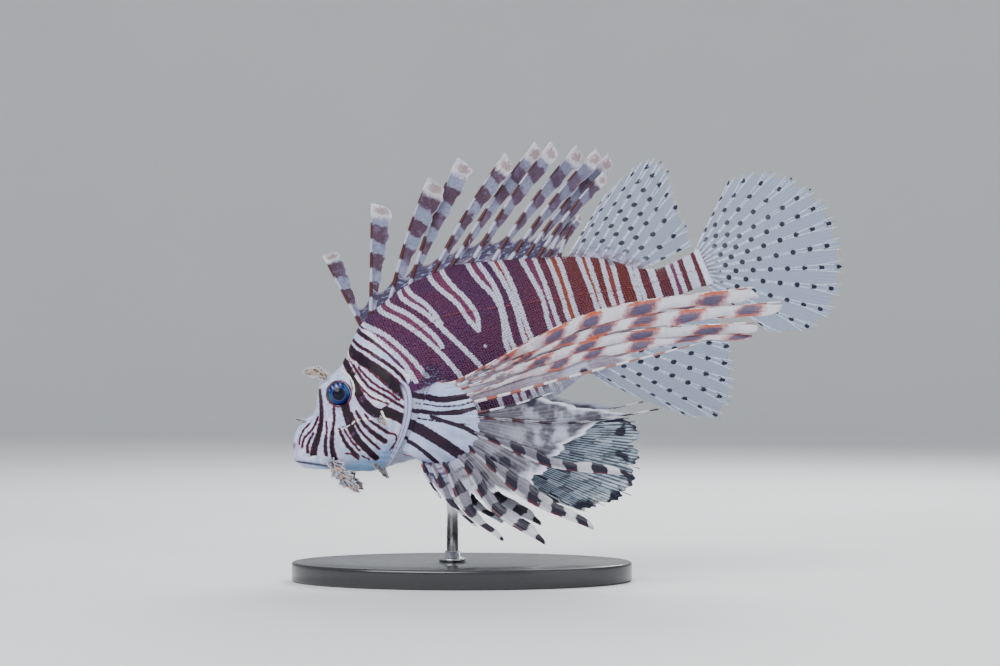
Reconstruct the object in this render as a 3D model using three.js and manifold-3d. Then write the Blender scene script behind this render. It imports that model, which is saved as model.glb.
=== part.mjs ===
// A red lionfish (Pterois volitans) as a life-size still model on a museum stand.
// Millimetres, +Z up, origin at the middle of the stand's underside. The snout points to -X, and the fish's
// left side faces -Y.
// The fish is built level in its own frame, where X runs back from the snout, Z runs towards the back and Y
// runs across, and is then pitched head down and set over the stand.
import * as THREE from "three";
import { mergeVertices } from "three/addons/utils/BufferGeometryUtils.js";
import Module from "manifold-3d";

const wasm = await Module();
wasm.setup();

// Driving dimensions
const PITCH = THREE.MathUtils.degToRad(23.8);
const SNOUT_AT = new THREE.Vector3(-86.9, 0, 68.5);
const GAP = 0.3;
const SIDES = { left: -1, right: 1 };

// The body's section at stations back from the snout: top, bottom, half width and the level of the widest
// point
const BODY = [
  [-2.0, -5.0, -6.5, 1.2, -5.8],
  [-0.8, -1.0, -9.0, 4.2, -5.5],
  [1.5, 4.0, -11.2, 6.6, -4.5],
  [5.0, 8.0, -13.4, 8.6, -3.5],
  [10.0, 10.6, -15.6, 10.2, -2.5],
  [15.0, 12.0, -18.4, 11.4, -1.5],
  [18.5, 14.2, -20.6, 12.2, 0.0],
  [22.0, 20.0, -22.6, 13.2, 1.5],
  [26.0, 26.4, -24.6, 14.6, 2.5],
  [32.0, 28.8, -27.0, 16.6, 3.0],
  [40.0, 30.4, -28.4, 19.0, 2.5],
  [48.0, 36.8, -29.4, 21.0, 2.0],
  [58.0, 44.6, -31.0, 22.4, 2.0],
  [72.0, 49.8, -33.0, 22.4, 3.0],
  [90.0, 53.4, -34.2, 21.0, 5.0],
  [108.0, 53.6, -33.8, 18.8, 6.0],
  [130.0, 48.0, -31.0, 15.4, 6.0],
  [150.0, 41.0, -26.6, 11.8, 5.5],
  [170.0, 33.2, -20.0, 8.6, 4.0],
  [188.0, 23.6, -13.4, 6.2, 2.4],
  [200.0, 13.4, -9.4, 4.8, 1.0],
  [212.0, 8.6, -8.2, 4.0, 0.2],
  [224.0, 8.8, -8.6, 3.4, 0.0],
  [233.0, 9.8, -9.6, 2.2, 0.0],
];
const TAIL_FROM = 186;
const BODY_END = BODY.at(-1)[0];
const RING_POINTS = 26;
// How close the rings of the body stand: the spacing used up to each station
const RING_STEPS = [
  { upTo: 6, step: 1.7 },
  { upTo: 46, step: 2.4 },
  { upTo: 90, step: 5 },
  { upTo: BODY_END, step: 8.5 },
];
// How full the section is above and below its widest level, where 1 is an ellipse
const FULLNESS = { above: 1.12, below: 0.92 };
// The hollow across the forehead between the raised rims of the eye sockets
const FOREHEAD = { depth: 2.6, length: 7, width: 4.5 };

// The rear edge of the gill cover, from the nape down to the throat, where the head meets the trunk
const GILL_EDGE = [
  [54, 90],
  [55.5, 46],
  [61, 34],
  [66.5, 20],
  [69, 6],
  [66.5, -4],
  [58.5, -15],
  [49, -23.5],
  [40, -29],
  [34, -70],
];
// The cover stands proud of the body towards its rear edge
const GILL_FLARE = { rise: 0.8, from: 40, to: 62 };
const FAR = 80;
// Edges shorter than this are merged when solids are joined or cut
const FINEST = 0.02;

const EYE = { station: 33.7, level: 16.2, across: 14.4, radius: 6.2, depth: 4.4 };
const ORBIT = { rise: 2.4, reach: 8.5 };
const MOUTH = { front: [-8, -2.6], corner: [15.6, -17.2], slit: 0.7, depth: 2.2, lip: 1.7, lipRise: 0.7 };
const NOSTRILS = [
  { station: 13.5, level: 9.0, radius: 0.9 },
  { station: 18.5, level: 11.0, radius: 0.7 },
];
const CHEEK_RIDGE = { from: [22.5, 1.0], to: [44, -3.0], radius: 0.9, spikes: 6 };

// Tabs of skin on each side of the face: nostril, cheek and lower jaw, with station, level and height off
// the skin
const FACE_TABS = [
  { root: [13, 8.5, -2], tip: [5, 15.5, 0.5], width: 2.2 },
  { root: [46.5, -1, -1], tip: [50, -9, 2.4], width: 3 },
  { root: [35, -22, -2], tip: [38.8, -35.2, 4], width: 3 },
];
// The fringed tentacle over each eye and the leafy barbel at each corner of the mouth: station, distance
// across and level of root and tip, with the number of lobes along the sides
const BROW_TENTACLE = { root: [31, 9, 26.5], tip: [20.5, 10.5, 34], width: 3.4, lobes: 3 };
const MOUTH_BARBEL = { root: [15.8, 9.6, -13.5], tip: [23.4, 14.5, -35], width: 5.4, lobes: 4 };
// A tab's half width along its length as a share of its width, its half thickness, and how far it bows out
const TAB = { widths: [0.35, 0.5, 0.48, 0.38, 0.15], depths: [0.8, 0.6, 0.5, 0.42, 0.3], bow: 1.2 };

// The spines of the first dorsal fin: where each leaves the back, its lean above the body axis, and its
// length
const SPINE_ROOTS = [57.4, 63, 75, 87, 99, 109.5, 120, 130.5, 139, 146, 152.5, 158.5, 164];
const SPINE_LEANS = [94.7, 66, 49, 46, 35.5, 32.5, 33, 30.5, 28.5, 28, 29, 36, 42];
const SPINE_LENGTHS = [41.2, 58.6, 66.5, 71.8, 74.5, 79.5, 76, 75.5, 73.5, 70.5, 57, 26, 24];
const SPINE_FLAG = [8.2, 10.4, 11.5, 10.2, 8.4, 8.0, 8.0, 7.6, 7.2, 6.8, 5.4, 4.2, 3.6];
const SPINE_RADIUS = 1.15;
const SPINE_SPLAY = 0.045;
const SPINE_SUNK = 2.5;
// The flag's width at heights along the spine, as shares of its full width
const FLAG_SHAPE = [[0, 0.2], [0.15, 0.25], [0.4, 0.45], [0.62, 0.75], [0.9, 1], [1, 0.3]];
const WEB = { height: 5.2, lean: 3, step: 5.9 };

// The soft fins: root, lean and length of each ray, from front to back or from top to bottom
const SOFT_DORSAL = {
  roots: [[168, 32.4], [171.5, 30.8], [175, 29], [179.5, 27], [183.5, 24.6], [187.5, 22], [191, 19.5],
    [194.5, 16.5], [197.5, 14], [200.5, 11.6]],
  leans: [35, 37, 35.5, 35.2, 34.5, 33, 30.5, 26, 15, 3],
  lengths: [41, 46, 59, 62.5, 61.5, 57.5, 49.5, 42, 36, 31],
};
const CAUDAL = {
  roots: [[228, 7.4], [229, 6.6], [229.5, 5.6], [230, 4.4], [230, 3.2], [230, 2], [230, 0.7], [230, -0.7],
    [230, -2], [230, -3.4], [229.5, -4.8], [229, -6], [228, -7]],
  leans: [40, 33.5, 25.5, 17.5, 9.5, 2.5, -5, -13, -21.5, -30, -39, -48, -60],
  lengths: [45, 52.5, 60, 65.5, 70, 73, 74, 73.5, 73, 72, 70, 62, 44],
};
const ANAL = {
  roots: [[154, -23.5], [157.5, -23], [161.5, -22], [166, -21], [171, -19.4], [176, -17.6], [181, -15.6],
    [186, -13.6], [190.5, -12], [195, -10.4]],
  leans: [-58, -60, -55, -52, -47.5, -44, -40, -35.5, -31, -24],
  lengths: [15, 23, 57, 69, 68, 64, 58, 52, 45, 37],
};

// The pectoral fins, on one side: the line along the gill edge where the rays start, and the fleshy lobe
// over which they run to their knees, at angles round its rim
const PECTORAL_BASE = { top: [82, 1.5], bottom: [50, -26.5], sunk: 1.5 };
const LOBE = { across: 22, flare: 8 };
// Each ray has its place down the base line, its knee's angle, its tip, the bow of its free part and the
// width of the vane of skin along it. webs holds where the web to the next ray ends, on this ray and on
// the next.
const PECTORAL_UPPER = {
  lobe: { centre: [78, -18], reach: [16.5, 20.5] },
  places: [0, 0.09, 0.18, 0.27, 0.35],
  knees: [52, 44, 34, 21, 9],
  tips: [[243.5, 90, -18], [253.5, 94, -30], [239, 89, -34.5], [235, 85, -38], [208.7, 75, -32.4]],
  bows: [12, 11, 10, 9, 0],
  vanes: [12, 11, 11, 11],
  webs: [[0.74, 0.74], [0.74, 0.74], [0.74, 0.74], [0.74, 0.8]],
};
const PECTORAL_LOWER = {
  lobe: { centre: [74, -20], reach: [20, 18] },
  places: [0.95, 0.86, 0.78, 0.69, 0.61, 0.53, 0.45, 0.41],
  knees: [-146, -128, -108, -85, -62, -37, -9, -1],
  tips: [[61, 42, -52], [72, 51, -72], [81.5, 57, -83.5], [100.5, 61, -93.5],
    [125.6, 62, -96.4], [152.8, 62, -78.8], [179.3, 66, -54.6], [134, 47, -26.4]],
  bows: [-1, -4, -6, -6.5, -6, -6, -5, -1],
  vanes: [6, 7, 7.5, 8, 8, 6, 1.2],
  webs: [[0.6, 0.6], [0.6, 0.58], [0.58, 0.55], [0.55, 0.56], [0.74, 0.62], [0.76, 0.56], [0.8, 1]],
};

// The pelvic fins, seen on one side
const PELVIC_LIFT = [0, 0.6, 0.8];
const PELVIC = {
  roots: [[84, 6.5, -29.5], [83.4, 7.1, -30], [82.6, 7.7, -30.4], [81.8, 8.3, -30.6], [81, 8.9, -30.6],
    [80, 9.5, -30.4]],
  tips: [[168, 27, -58], [164, 31, -69], [158.5, 33, -79.5], [149, 33, -90], [135, 31, -90], [122, 28, -87]],
  bows: [1, 3, 3, 2, 0, -2],
};

const MEMBRANE = 0.3;
const RAY_HALF_WIDTH = 0.9;
const VANE_END = 1.1;

const BASE = { length: 176, width: 104, height: 10, bevel: 1.5, segments: 40 };
const ROD = { station: 75, radius: 3, sunk: 12, collar: 7, collarRim: 1.5, collarHeight: 5, segments: 20 };

const vec = (x, y, z) => new THREE.Vector3(x, y, z);

// A smooth curve through values at rising stations, without overshoot.
function through(stations, values) {
  const last = stations.length - 1;
  const slopes = values.slice(1).map((v, i) => (v - values[i]) / (stations[i + 1] - stations[i]));
  const tangents = values.map((_, i) => {
    if (i === 0) return slopes[0];
    if (i === last) return slopes[last - 1];
    const [a, b] = [slopes[i - 1], slopes[i]];
    return a * b <= 0 ? 0 : (2 * a * b) / (a + b);
  });
  return (x) => {
    let i = 0;
    while (i < last - 1 && x > stations[i + 1]) i += 1;
    const h = stations[i + 1] - stations[i];
    const t = THREE.MathUtils.clamp((x - stations[i]) / h, 0, 1);
    const rise = values[i + 1] - values[i];
    const start = h * tangents[i];
    const end = h * tangents[i + 1];
    return values[i] + t * (start + t * (3 * rise - 2 * start - end + t * (start + end - 2 * rise)));
  };
}

const column = (k) => through(BODY.map((row) => row[0]), BODY.map((row) => row[k]));
const section = { top: column(1), bottom: column(2), half: column(3), level: column(4) };

// A closed surface from vertices and triangles as a solid, turned to face outwards.
function solid(vertices, triangles) {
  const positions = new Float32Array(vertices.flatMap((v) => [v.x, v.y, v.z]));
  const indices = triangles.map((t) => [...t]);
  const volume = indices.reduce((sum, [a, b, c]) => {
    const cross = vertices[b].clone().cross(vertices[c]);
    return sum + vertices[a].dot(cross);
  }, 0);
  if (volume < 0) indices.forEach((t) => t.reverse());
  const triVerts = new Uint32Array(indices.flat());
  return new wasm.Manifold(new wasm.Mesh({ numProp: 3, vertProperties: positions, triVerts, tolerance: FINEST }));
}

// A three.js geometry as a solid.
function solidOf(geometry) {
  const bare = geometry.clone();
  bare.deleteAttribute("normal");
  bare.deleteAttribute("uv");
  const merged = mergeVertices(bare, 1e-4);
  const at = merged.attributes.position;
  const vertices = Array.from({ length: at.count }, (_, i) => new THREE.Vector3().fromBufferAttribute(at, i));
  const triangles = [];
  const index = Array.from(merged.index.array);
  for (let i = 0; i < index.length; i += 3) triangles.push(index.slice(i, i + 3));
  return solid(vertices, triangles);
}

// The largest closed surface of a solid, without scraps and sealed hollows.
function largest(made) {
  return made.decompose().sort((a, b) => b.volume() - a.volume())[0];
}

// A solid as geometry for a mesh.
function geometryOf(made) {
  const { vertProperties, triVerts } = made.getMesh();
  const geometry = new THREE.BufferGeometry();
  geometry.setAttribute("position", new THREE.BufferAttribute(vertProperties, 3));
  geometry.setIndex(new THREE.BufferAttribute(triVerts, 1));
  geometry.computeVertexNormals();
  return geometry;
}

// A closed body through rings of points, each end closed by a fan.
function loft(rings) {
  const size = rings[0].length;
  const vertices = rings.flat();
  const triangles = [];
  for (let i = 0; i + 1 < rings.length; i += 1) {
    for (let j = 0; j < size; j += 1) {
      const a = i * size + j;
      const b = i * size + ((j + 1) % size);
      triangles.push([a, b, b + size], [a, b + size, a + size]);
    }
  }
  for (const end of [0, rings.length - 1]) {
    const centre = vertices.length;
    const middle = rings[end].reduce((sum, p) => sum.add(p), vec(0, 0, 0)).divideScalar(size);
    vertices.push(middle);
    for (let j = 0; j < size; j += 1) {
      const a = end * size + j;
      const b = end * size + ((j + 1) % size);
      triangles.push(end ? [a, b, centre] : [b, a, centre]);
    }
  }
  return solid(vertices, triangles);
}

// A point of the skin at a station, at an angle round from the back, swollen by grow.
function skinPoint(station, angle, grow) {
  const level = section.level(station);
  const half = section.half(station) + grow;
  const across = Math.sin(angle);
  const up = Math.cos(angle);
  const height = up > 0 ? section.top(station) + grow - level : level - section.bottom(station) + grow;
  const fullness = up > 0 ? FULLNESS.above : FULLNESS.below;
  const p = vec(station, half * Math.sign(across) * Math.abs(across) ** fullness, level + height * up);
  const fromEye = Math.hypot(station - EYE.station, p.z - EYE.level) / ORBIT.reach;
  p.y += Math.sign(across) * ORBIT.rise * Math.exp(-(fromEye ** 2)) * Math.min(1, Math.abs(across) * 2);
  const alongHead = (station - EYE.station) / FOREHEAD.length;
  const betweenEyes = Math.exp(-(alongHead ** 2) - (p.y / FOREHEAD.width) ** 2);
  p.z -= up > 0 ? FOREHEAD.depth * betweenEyes : 0;
  return p;
}

// The whole body, swollen by a size that may change along it.
function bodySolid(grow) {
  const stations = [];
  for (let s = BODY[0][0]; s < BODY_END; s += RING_STEPS.find(({ upTo }) => s < upTo).step) stations.push(s);
  stations.push(BODY_END);
  const rings = stations.map((s, i) => {
    const swell = grow(s);
    const shift = i === 0 ? -swell : i === stations.length - 1 ? swell : 0;
    return Array.from({ length: RING_POINTS }, (_, j) => {
      const p = skinPoint(s, (2 * Math.PI * j) / RING_POINTS, swell);
      return p.setX(p.x + shift);
    });
  });
  return loft(rings);
}

// A slab across the fish, of an outline in its side view.
function sidePanel(outline) {
  const shape = new THREE.Shape(outline.map(([x, z]) => new THREE.Vector2(x, z)));
  const geometry = new THREE.ExtrudeGeometry(shape, { depth: 2 * FAR, bevelEnabled: false });
  geometry.rotateX(Math.PI / 2).translate(0, FAR, 0);
  return solidOf(geometry);
}

// A tapering rod or flat tab along points, with its half width and half thickness at each point.
function strip(points, widths, depths, sides = 6, flat = vec(0, 1, 0)) {
  const rings = points.map((p, i) => {
    const next = points[Math.min(i + 1, points.length - 1)];
    const along = next.clone().sub(points[Math.max(i - 1, 0)]).normalize();
    const broad = along.clone().cross(flat).normalize();
    const deep = broad.clone().cross(along).normalize();
    return Array.from({ length: sides }, (_, j) => {
      const a = (2 * Math.PI * j) / sides;
      const out = broad.clone().multiplyScalar(widths[i] * Math.cos(a));
      return p.clone().add(out).addScaledVector(deep, depths[i] * Math.sin(a));
    });
  });
  return loft(rings);
}

// A closed plate over columns of {p, half, normal, pad} points, with both faces split into triangles alike.
// half is laid off along the normal, which comes from the points around where none is given, and pad is a
// thickening in a direction of its own.
function plate(columns) {
  const rows = columns[0].length;
  const { clamp } = THREE.MathUtils;
  const at = (i, j) => columns[clamp(i, 0, columns.length - 1)][clamp(j, 0, rows - 1)].p;
  const faces = [1, -1].map((face) =>
    columns.flatMap((points, i) =>
      points.map(({ p, half, normal, pad = vec(0, 0, 0) }, j) => {
        const around = at(i + 1, j).clone().sub(at(i - 1, j));
        const along = at(i, j + 1).clone().sub(at(i, j - 1));
        const out = normal ?? around.cross(along).normalize();
        return p.clone().addScaledVector(out, face * half).addScaledVector(pad, face);
      }),
    ),
  );
  const count = columns.length * rows;
  const triangles = [];
  for (let i = 0; i + 1 < columns.length; i += 1) {
    for (let j = 0; j + 1 < rows; j += 1) {
      const [a, b] = [i * rows + j, (i + 1) * rows + j];
      triangles.push([a, b, b + 1], [a, b + 1, a + 1]);
      triangles.push([count + b + 1, count + b, count + a], [count + a + 1, count + b + 1, count + a]);
    }
  }
  const rim = [
    ...columns.map((_, i) => i * rows),
    ...columns[0].map((_, j) => (columns.length - 1) * rows + j).slice(1),
    ...columns.map((_, i) => (columns.length - 1 - i) * rows + rows - 1).slice(1),
    ...columns[0].map((_, j) => rows - 1 - j).slice(1, -1),
  ];
  rim.forEach((a, i) => {
    const b = rim[(i + 1) % rim.length];
    triangles.push([b, a, count + a], [b, count + a, count + b]);
  });
  return solid(faces.flat(), triangles);
}

// A ray from root to tip, bowed towards lift at its middle.
function ray(root, tip, bow, lift = vec(0, 0, 1)) {
  return (t) => root.clone().lerp(tip, t).addScaledVector(lift, bow * 4 * t * (1 - t));
}

// A ray that runs from its root to a knee, and from there bows to its tip.
function kneedRay(root, knee, tip, bow) {
  const lift = vec(knee.z - tip.z, 0, tip.x - knee.x).normalize();
  const middle = knee.clone().lerp(tip, 0.5).addScaledVector(lift, bow);
  const curve = new THREE.CatmullRomCurve3([root, knee, middle, tip]);
  return (t) => curve.getPointAt(Math.min(t, 1));
}

// A ray in the middle plane, from its root, lean and length.
function leaning([x, z], lean, length, bow = 0) {
  const angle = THREE.MathUtils.degToRad(lean);
  const root = vec(x, 0, z);
  const tip = vec(x + length * Math.cos(angle), 0, z + length * Math.sin(angle));
  return ray(root, tip, bow, vec(-Math.sin(angle), 0, Math.cos(angle)));
}

// A fin of webbed rays. steps(k) gives the columns between ray k and the next: each lies at a share of the
// way, which starts as rootShare at the root, or beside a ridge, no further than width from its ray, and
// reaches to that part of the length. pad thickens the root, and bulge pushes the web out between the rays.
function webbedFin(rays, { rows, steps, thickness = 0.95, pad = 0, padReach = 14, bulge = 0 }) {
  const levels = Array.from({ length: rows + 1 }, (_, j) => (j / rows) ** 0.9);
  const facing = (k, t) => {
    const along = rays[k](t + 0.02).sub(rays[k](Math.max(0, t - 0.02)));
    const across = rays[Math.min(k + 1, rays.length - 1)](t).sub(rays[Math.max(k - 1, 0)](t));
    return across.cross(along).normalize();
  };
  const outward = vec(0, Math.sign(facing(1, 0.1).y), 0);
  const columnAt = (k, { share, rootShare = share, reach = 1, ridge, width = Infinity }) =>
    levels.map((level) => {
      const t = level * (1 - (1 - reach) * level ** 1.5);
      const [a, b] = [rays[k], rays[k + 1]];
      const [p, q] = [a(t), b(t)];
      const spacing = Math.max(p.distanceTo(q), 1e-3);
      const edge = Math.min(0.3, (RAY_HALF_WIDTH * (1 - 0.5 * t)) / spacing);
      const limit = (width * Math.min(1, 5 * (VANE_END - t))) / spacing;
      const way = rootShare + (share - rootShare) * Math.min(1, 3 * t);
      const mix = ridge === "near" ? edge : ridge === "far" ? 1 - edge : Math.min(way, limit);
      const point = p.clone().lerp(q, mix);
      const fromRoot = point.distanceTo(a(0).lerp(b(0), mix));
      const onRay = share === 0 || share === 1;
      const half = onRay ? Math.max(0.28, thickness * (1 - 0.65 * t)) : MEMBRANE;
      point.y += bulge * Math.sin(Math.PI * mix) * Math.min(1, 3 * t);
      const normal = facing(k, t).lerp(facing(k + 1, t), mix).normalize();
      const thickened = pad * Math.exp(-((fromRoot / padReach) ** 2));
      return { p: point, half, normal, pad: outward.clone().multiplyScalar(thickened) };
    });
  const columns = rays.slice(0, -1).flatMap((_, k) => {
    const between = [{ share: 0 }, ...steps(k)];
    return between.map((step) => columnAt(k, step));
  });
  columns.push(columnAt(rays.length - 2, { share: 1 }));
  return plate(columns);
}

const MEDIAN_STEPS = [
  { share: 0.3, reach: 0.975, ridge: "near" },
  { share: 0.7, reach: 0.965, ridge: "far" },
];

// A fin in the middle plane.
function medianFin({ roots, leans, lengths }, rows, pad) {
  const rays = roots.map((root, i) => leaning(root, leans[i], lengths[i]));
  return webbedFin(rays, { rows, steps: () => MEDIAN_STEPS, pad, padReach: 7 });
}

// An eye, swollen by grow.
function eyeSolid(side, grow = 0) {
  const ball = new THREE.SphereGeometry(1, 16, 8);
  ball.scale(EYE.radius + grow, EYE.depth + grow, EYE.radius + grow);
  ball.translate(EYE.station, side * EYE.across, EYE.level);
  return solidOf(ball);
}

// The upright distance of the skin from the middle plane at a place in side view.
function skinWidth(station, level) {
  const middle = section.level(station);
  const height = level > middle ? section.top(station) - middle : middle - section.bottom(station);
  const up = THREE.MathUtils.clamp(Math.abs(level - middle) / height, 0, 1);
  return section.half(station) * Math.sqrt(1 - up * up);
}

// Head
const gillRegion = (shift) => [[-FAR, -70], [-FAR, 90], ...GILL_EDGE.map(([x, z]) => [x + shift, z])];
const gillFlare = (s) => GILL_FLARE.rise * THREE.MathUtils.smoothstep(s, GILL_FLARE.from, GILL_FLARE.to);

function mouthBand(halfHeight) {
  const [x0, z0] = MOUTH.front;
  const [x1, z1] = MOUTH.corner;
  const angle = Math.atan2(z1 - z0, x1 - x0);
  const [nx, nz] = [-Math.sin(angle) * halfHeight, Math.cos(angle) * halfHeight];
  const upper = [[x0 + nx, z0 + nz], [x1 + nx, z1 + nz]];
  return [...upper, [x1 + halfHeight, z1], [x1 - nx, z1 - nz], [x0 - nx, z0 - nz]];
}

// A tab of skin from a root on the head, with its tip, width and side lobes.
function skinTab(root, tip, width, lobes = 0) {
  const across = vec(0, 1, 0);
  const bow = (t) => across.clone().multiplyScalar(Math.sign(root.y) * TAB.bow * Math.sin(Math.PI * t));
  const at = (t) => root.clone().lerp(tip, t).add(bow(t));
  const points = TAB.widths.map((_, i) => at(i / (TAB.widths.length - 1)));
  const pieces = [strip(points, TAB.widths.map((w) => w * width), TAB.depths, 6, across)];
  const along = tip.clone().sub(root).normalize();
  const broad = along.clone().cross(across).normalize();
  for (let k = 0; k < lobes; k += 1) {
    const start = at(0.35 + (0.6 * k) / lobes);
    const aim = along.clone().addScaledVector(broad, k % 2 ? 1.2 : -1.2).normalize();
    const end = start.clone().addScaledVector(aim, width * 0.95);
    pieces.push(strip([start, end], [0.8, 0.28], [0.45, 0.26], 4, across));
  }
  return wasm.Manifold.union(pieces);
}

// A tentacle of the face that is a node of its own.
function tentacle({ root, tip, width, lobes }, side) {
  const [start, end] = [root, tip].map(([x, y, z]) => vec(x, side * y, z));
  return skinTab(start, end, width, lobes).subtract(headSwollen);
}

function headSolid() {
  let head = bodySolid(gillFlare).intersect(sidePanel(gillRegion(0)));
  const raised = bodySolid(() => MOUTH.lipRise);
  head = head.add(raised.intersect(sidePanel(mouthBand(MOUTH.lip))));
  const core = bodySolid(() => -MOUTH.depth);
  head = head.subtract(sidePanel(mouthBand(MOUTH.slit / 2)).subtract(core));
  const pieces = [head];
  for (const side of Object.values(SIDES)) {
    const onSkin = ([x, z, out]) => vec(x, side * (skinWidth(x, z) + out), z);
    const ridge = Array.from({ length: CHEEK_RIDGE.spikes + 1 }, (_, i) => {
      const t = i / CHEEK_RIDGE.spikes;
      const [x, z] = CHEEK_RIDGE.from.map((v, k) => v + (CHEEK_RIDGE.to[k] - v) * t);
      return onSkin([x, z, 0.1]);
    });
    const radii = ridge.map((_, i) => (i % 2 ? 1 : 0.7) * CHEEK_RIDGE.radius);
    pieces.push(strip(ridge, radii, radii, 5, vec(0, 0, 1)));
    FACE_TABS.forEach(({ root, tip, width }) => pieces.push(skinTab(onSkin(root), onSkin(tip), width)));
  }
  head = wasm.Manifold.union(pieces);
  for (const side of Object.values(SIDES)) {
    head = head.subtract(eyeSolid(side, GAP));
    for (const { station, level, radius } of NOSTRILS) {
      const pit = new THREE.SphereGeometry(radius, 6, 4);
      pit.translate(station, side * skinWidth(station, level), level);
      head = head.subtract(solidOf(pit));
    }
  }
  return largest(head);
}

// Trunk and tail, and the whole of the flesh with its gap, which trims what grows from it
const behind = (s) => sidePanel([[s, -FAR], [BODY_END + FAR, -FAR], [BODY_END + FAR, FAR], [s, FAR]]);
const trunk = bodySolid(() => 0);
const torso = largest(trunk.subtract(sidePanel(gillRegion(GAP))).subtract(behind(TAIL_FROM)));
const tail = largest(trunk.intersect(behind(TAIL_FROM + GAP)));
const headSwollen = bodySolid((s) => GAP + gillFlare(s)).intersect(sidePanel(gillRegion(GAP)));
const flesh = bodySolid(() => GAP).add(headSwollen);

// First dorsal fin: a low web along the back, and for each spine a shaft with a flag of skin behind it
function dorsalSpine(k) {
  const lean = THREE.MathUtils.degToRad(SPINE_LEANS[k]);
  const along = vec(Math.cos(lean), 0, Math.sin(lean));
  const behindSpine = vec(Math.sin(lean), 0, -Math.cos(lean));
  const root = vec(SPINE_ROOTS[k], 0, section.top(SPINE_ROOTS[k]) - SPINE_SUNK);
  const length = SPINE_LENGTHS[k] + SPINE_SUNK;
  const flag = (share) => Math.max(1.5, share * SPINE_FLAG[k]);
  const columns = [
    { off: () => -RAY_HALF_WIDTH, half: () => MEMBRANE, reach: 0.985 },
    { off: () => 0, half: (t) => SPINE_RADIUS * (1 - 0.62 * t), reach: 1 },
    { off: () => 1.1, half: () => MEMBRANE, reach: 0.985 },
    { off: flag, half: () => MEMBRANE, reach: 0.965 },
  ];
  return plate(
    columns.map(({ off, half, reach }) =>
      FLAG_SHAPE.map(([t, share]) => {
        const p = root.clone().addScaledVector(along, t * reach * length);
        p.y += (k % 2 ? 1 : -1) * SPINE_SPLAY * length * t * t;
        return { p: p.addScaledVector(behindSpine, off(share)), half: half(t) };
      }),
    ),
  );
}

function spinyDorsal() {
  const web = [];
  for (let s = SPINE_ROOTS[0]; s < SPINE_ROOTS.at(-1) - 1; s += WEB.step) {
    const back = section.top(s);
    web.push([
      { p: vec(s, 0, back - SPINE_SUNK), half: 0.9 },
      { p: vec(s + WEB.lean, 0, back + WEB.height), half: 0.6 },
    ]);
  }
  const spines = SPINE_ROOTS.map((_, k) => dorsalSpine(k));
  return largest(wasm.Manifold.union([plate(web), ...spines]).subtract(flesh));
}

// The pectoral root at a place down the fleshy base.
function pectoralRoot(place, side) {
  const { top, bottom, sunk } = PECTORAL_BASE;
  const x = top[0] + (bottom[0] - top[0]) * place;
  const z = top[1] + (bottom[1] - top[1]) * place;
  return vec(x, side * (skinWidth(x, z) - sunk), z);
}

// Along each pectoral ray its own vane of skin runs almost to the tip, and the web to the next ray stops
// short
function pectoral({ lobe, places, knees, tips, bows, vanes, webs }, side, rows) {
  const rays = places.map((place, k) => {
    const [x, y, z] = tips[k];
    const angle = THREE.MathUtils.degToRad(knees[k]);
    const [c, s] = [Math.cos(angle), Math.sin(angle)];
    const across = side * (LOBE.across + LOBE.flare * c);
    const knee = vec(lobe.centre[0] + lobe.reach[0] * c, across, lobe.centre[1] + lobe.reach[1] * s);
    return kneedRay(pectoralRoot(place, side), knee, vec(x, side * y, z), bows[k]);
  });
  const steps = (k) => [
    { share: 0.72, rootShare: 0.44, reach: 0.94, width: vanes[k] },
    { share: 0.8, rootShare: 0.58, reach: webs[k][0], width: vanes[k] + 0.6 },
    { share: 0.95, reach: webs[k][1], ridge: "far" },
  ];
  const fin = webbedFin(rays, { rows, steps, thickness: 1.1, pad: 1.8, padReach: 18, bulge: side });
  return largest(fin.subtract(flesh));
}

function pelvic(side) {
  const rays = PELVIC.roots.map(([x, y, z], k) => {
    const [tx, ty, tz] = PELVIC.tips[k];
    const lift = vec(0, side * PELVIC_LIFT[1], PELVIC_LIFT[2]);
    return ray(vec(x, side * y, z), vec(tx, side * ty, tz), PELVIC.bows[k], lift);
  });
  const steps = () => [
    { share: 0.25, reach: 0.97, ridge: "near" },
    { share: 0.75, reach: 0.95, ridge: "far" },
  ];
  return largest(webbedFin(rays, { rows: 5, steps, thickness: 1, pad: 1.4, padReach: 9 }).subtract(flesh));
}

function mouthBarbel(side) {
  const lips = bodySolid(() => GAP + MOUTH.lipRise).intersect(sidePanel(mouthBand(MOUTH.lip + GAP)));
  return largest(tentacle(MOUTH_BARBEL, side).subtract(lips));
}

// Stand
const fish = new THREE.Group();
fish.rotation.y = -PITCH;
fish.position.copy(SNOUT_AT);
fish.updateMatrixWorld(true);

function standBase() {
  const [a, b] = [BASE.length / 2 - BASE.bevel, BASE.width / 2 - BASE.bevel];
  const outline = new THREE.Shape().absellipse(0, 0, a, b, 0, 2 * Math.PI);
  const geometry = new THREE.ExtrudeGeometry(outline, {
    depth: BASE.height - 2 * BASE.bevel,
    bevelThickness: BASE.bevel,
    bevelSize: BASE.bevel,
    bevelSegments: 1,
    curveSegments: BASE.segments / 2,
  });
  geometry.translate(0, 0, BASE.bevel);
  return solidOf(geometry);
}

function standRod() {
  const belly = vec(ROD.station, 0, section.bottom(ROD.station)).applyMatrix4(fish.matrixWorld);
  const foot = BASE.height + GAP;
  const inBody = belly.z + ROD.sunk;
  const profile = [
    [0, foot],
    [ROD.collar, foot],
    [ROD.collar, foot + ROD.collarRim],
    [ROD.radius, foot + ROD.collarHeight],
    [ROD.radius, inBody],
    [0, inBody],
  ].map(([r, z]) => new THREE.Vector2(r, z));
  const geometry = new THREE.LatheGeometry(profile, ROD.segments);
  geometry.rotateX(Math.PI / 2).translate(belly.x, 0, 0);
  return largest(solidOf(geometry).subtract(flesh.transform(fish.matrixWorld.elements)));
}

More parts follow.
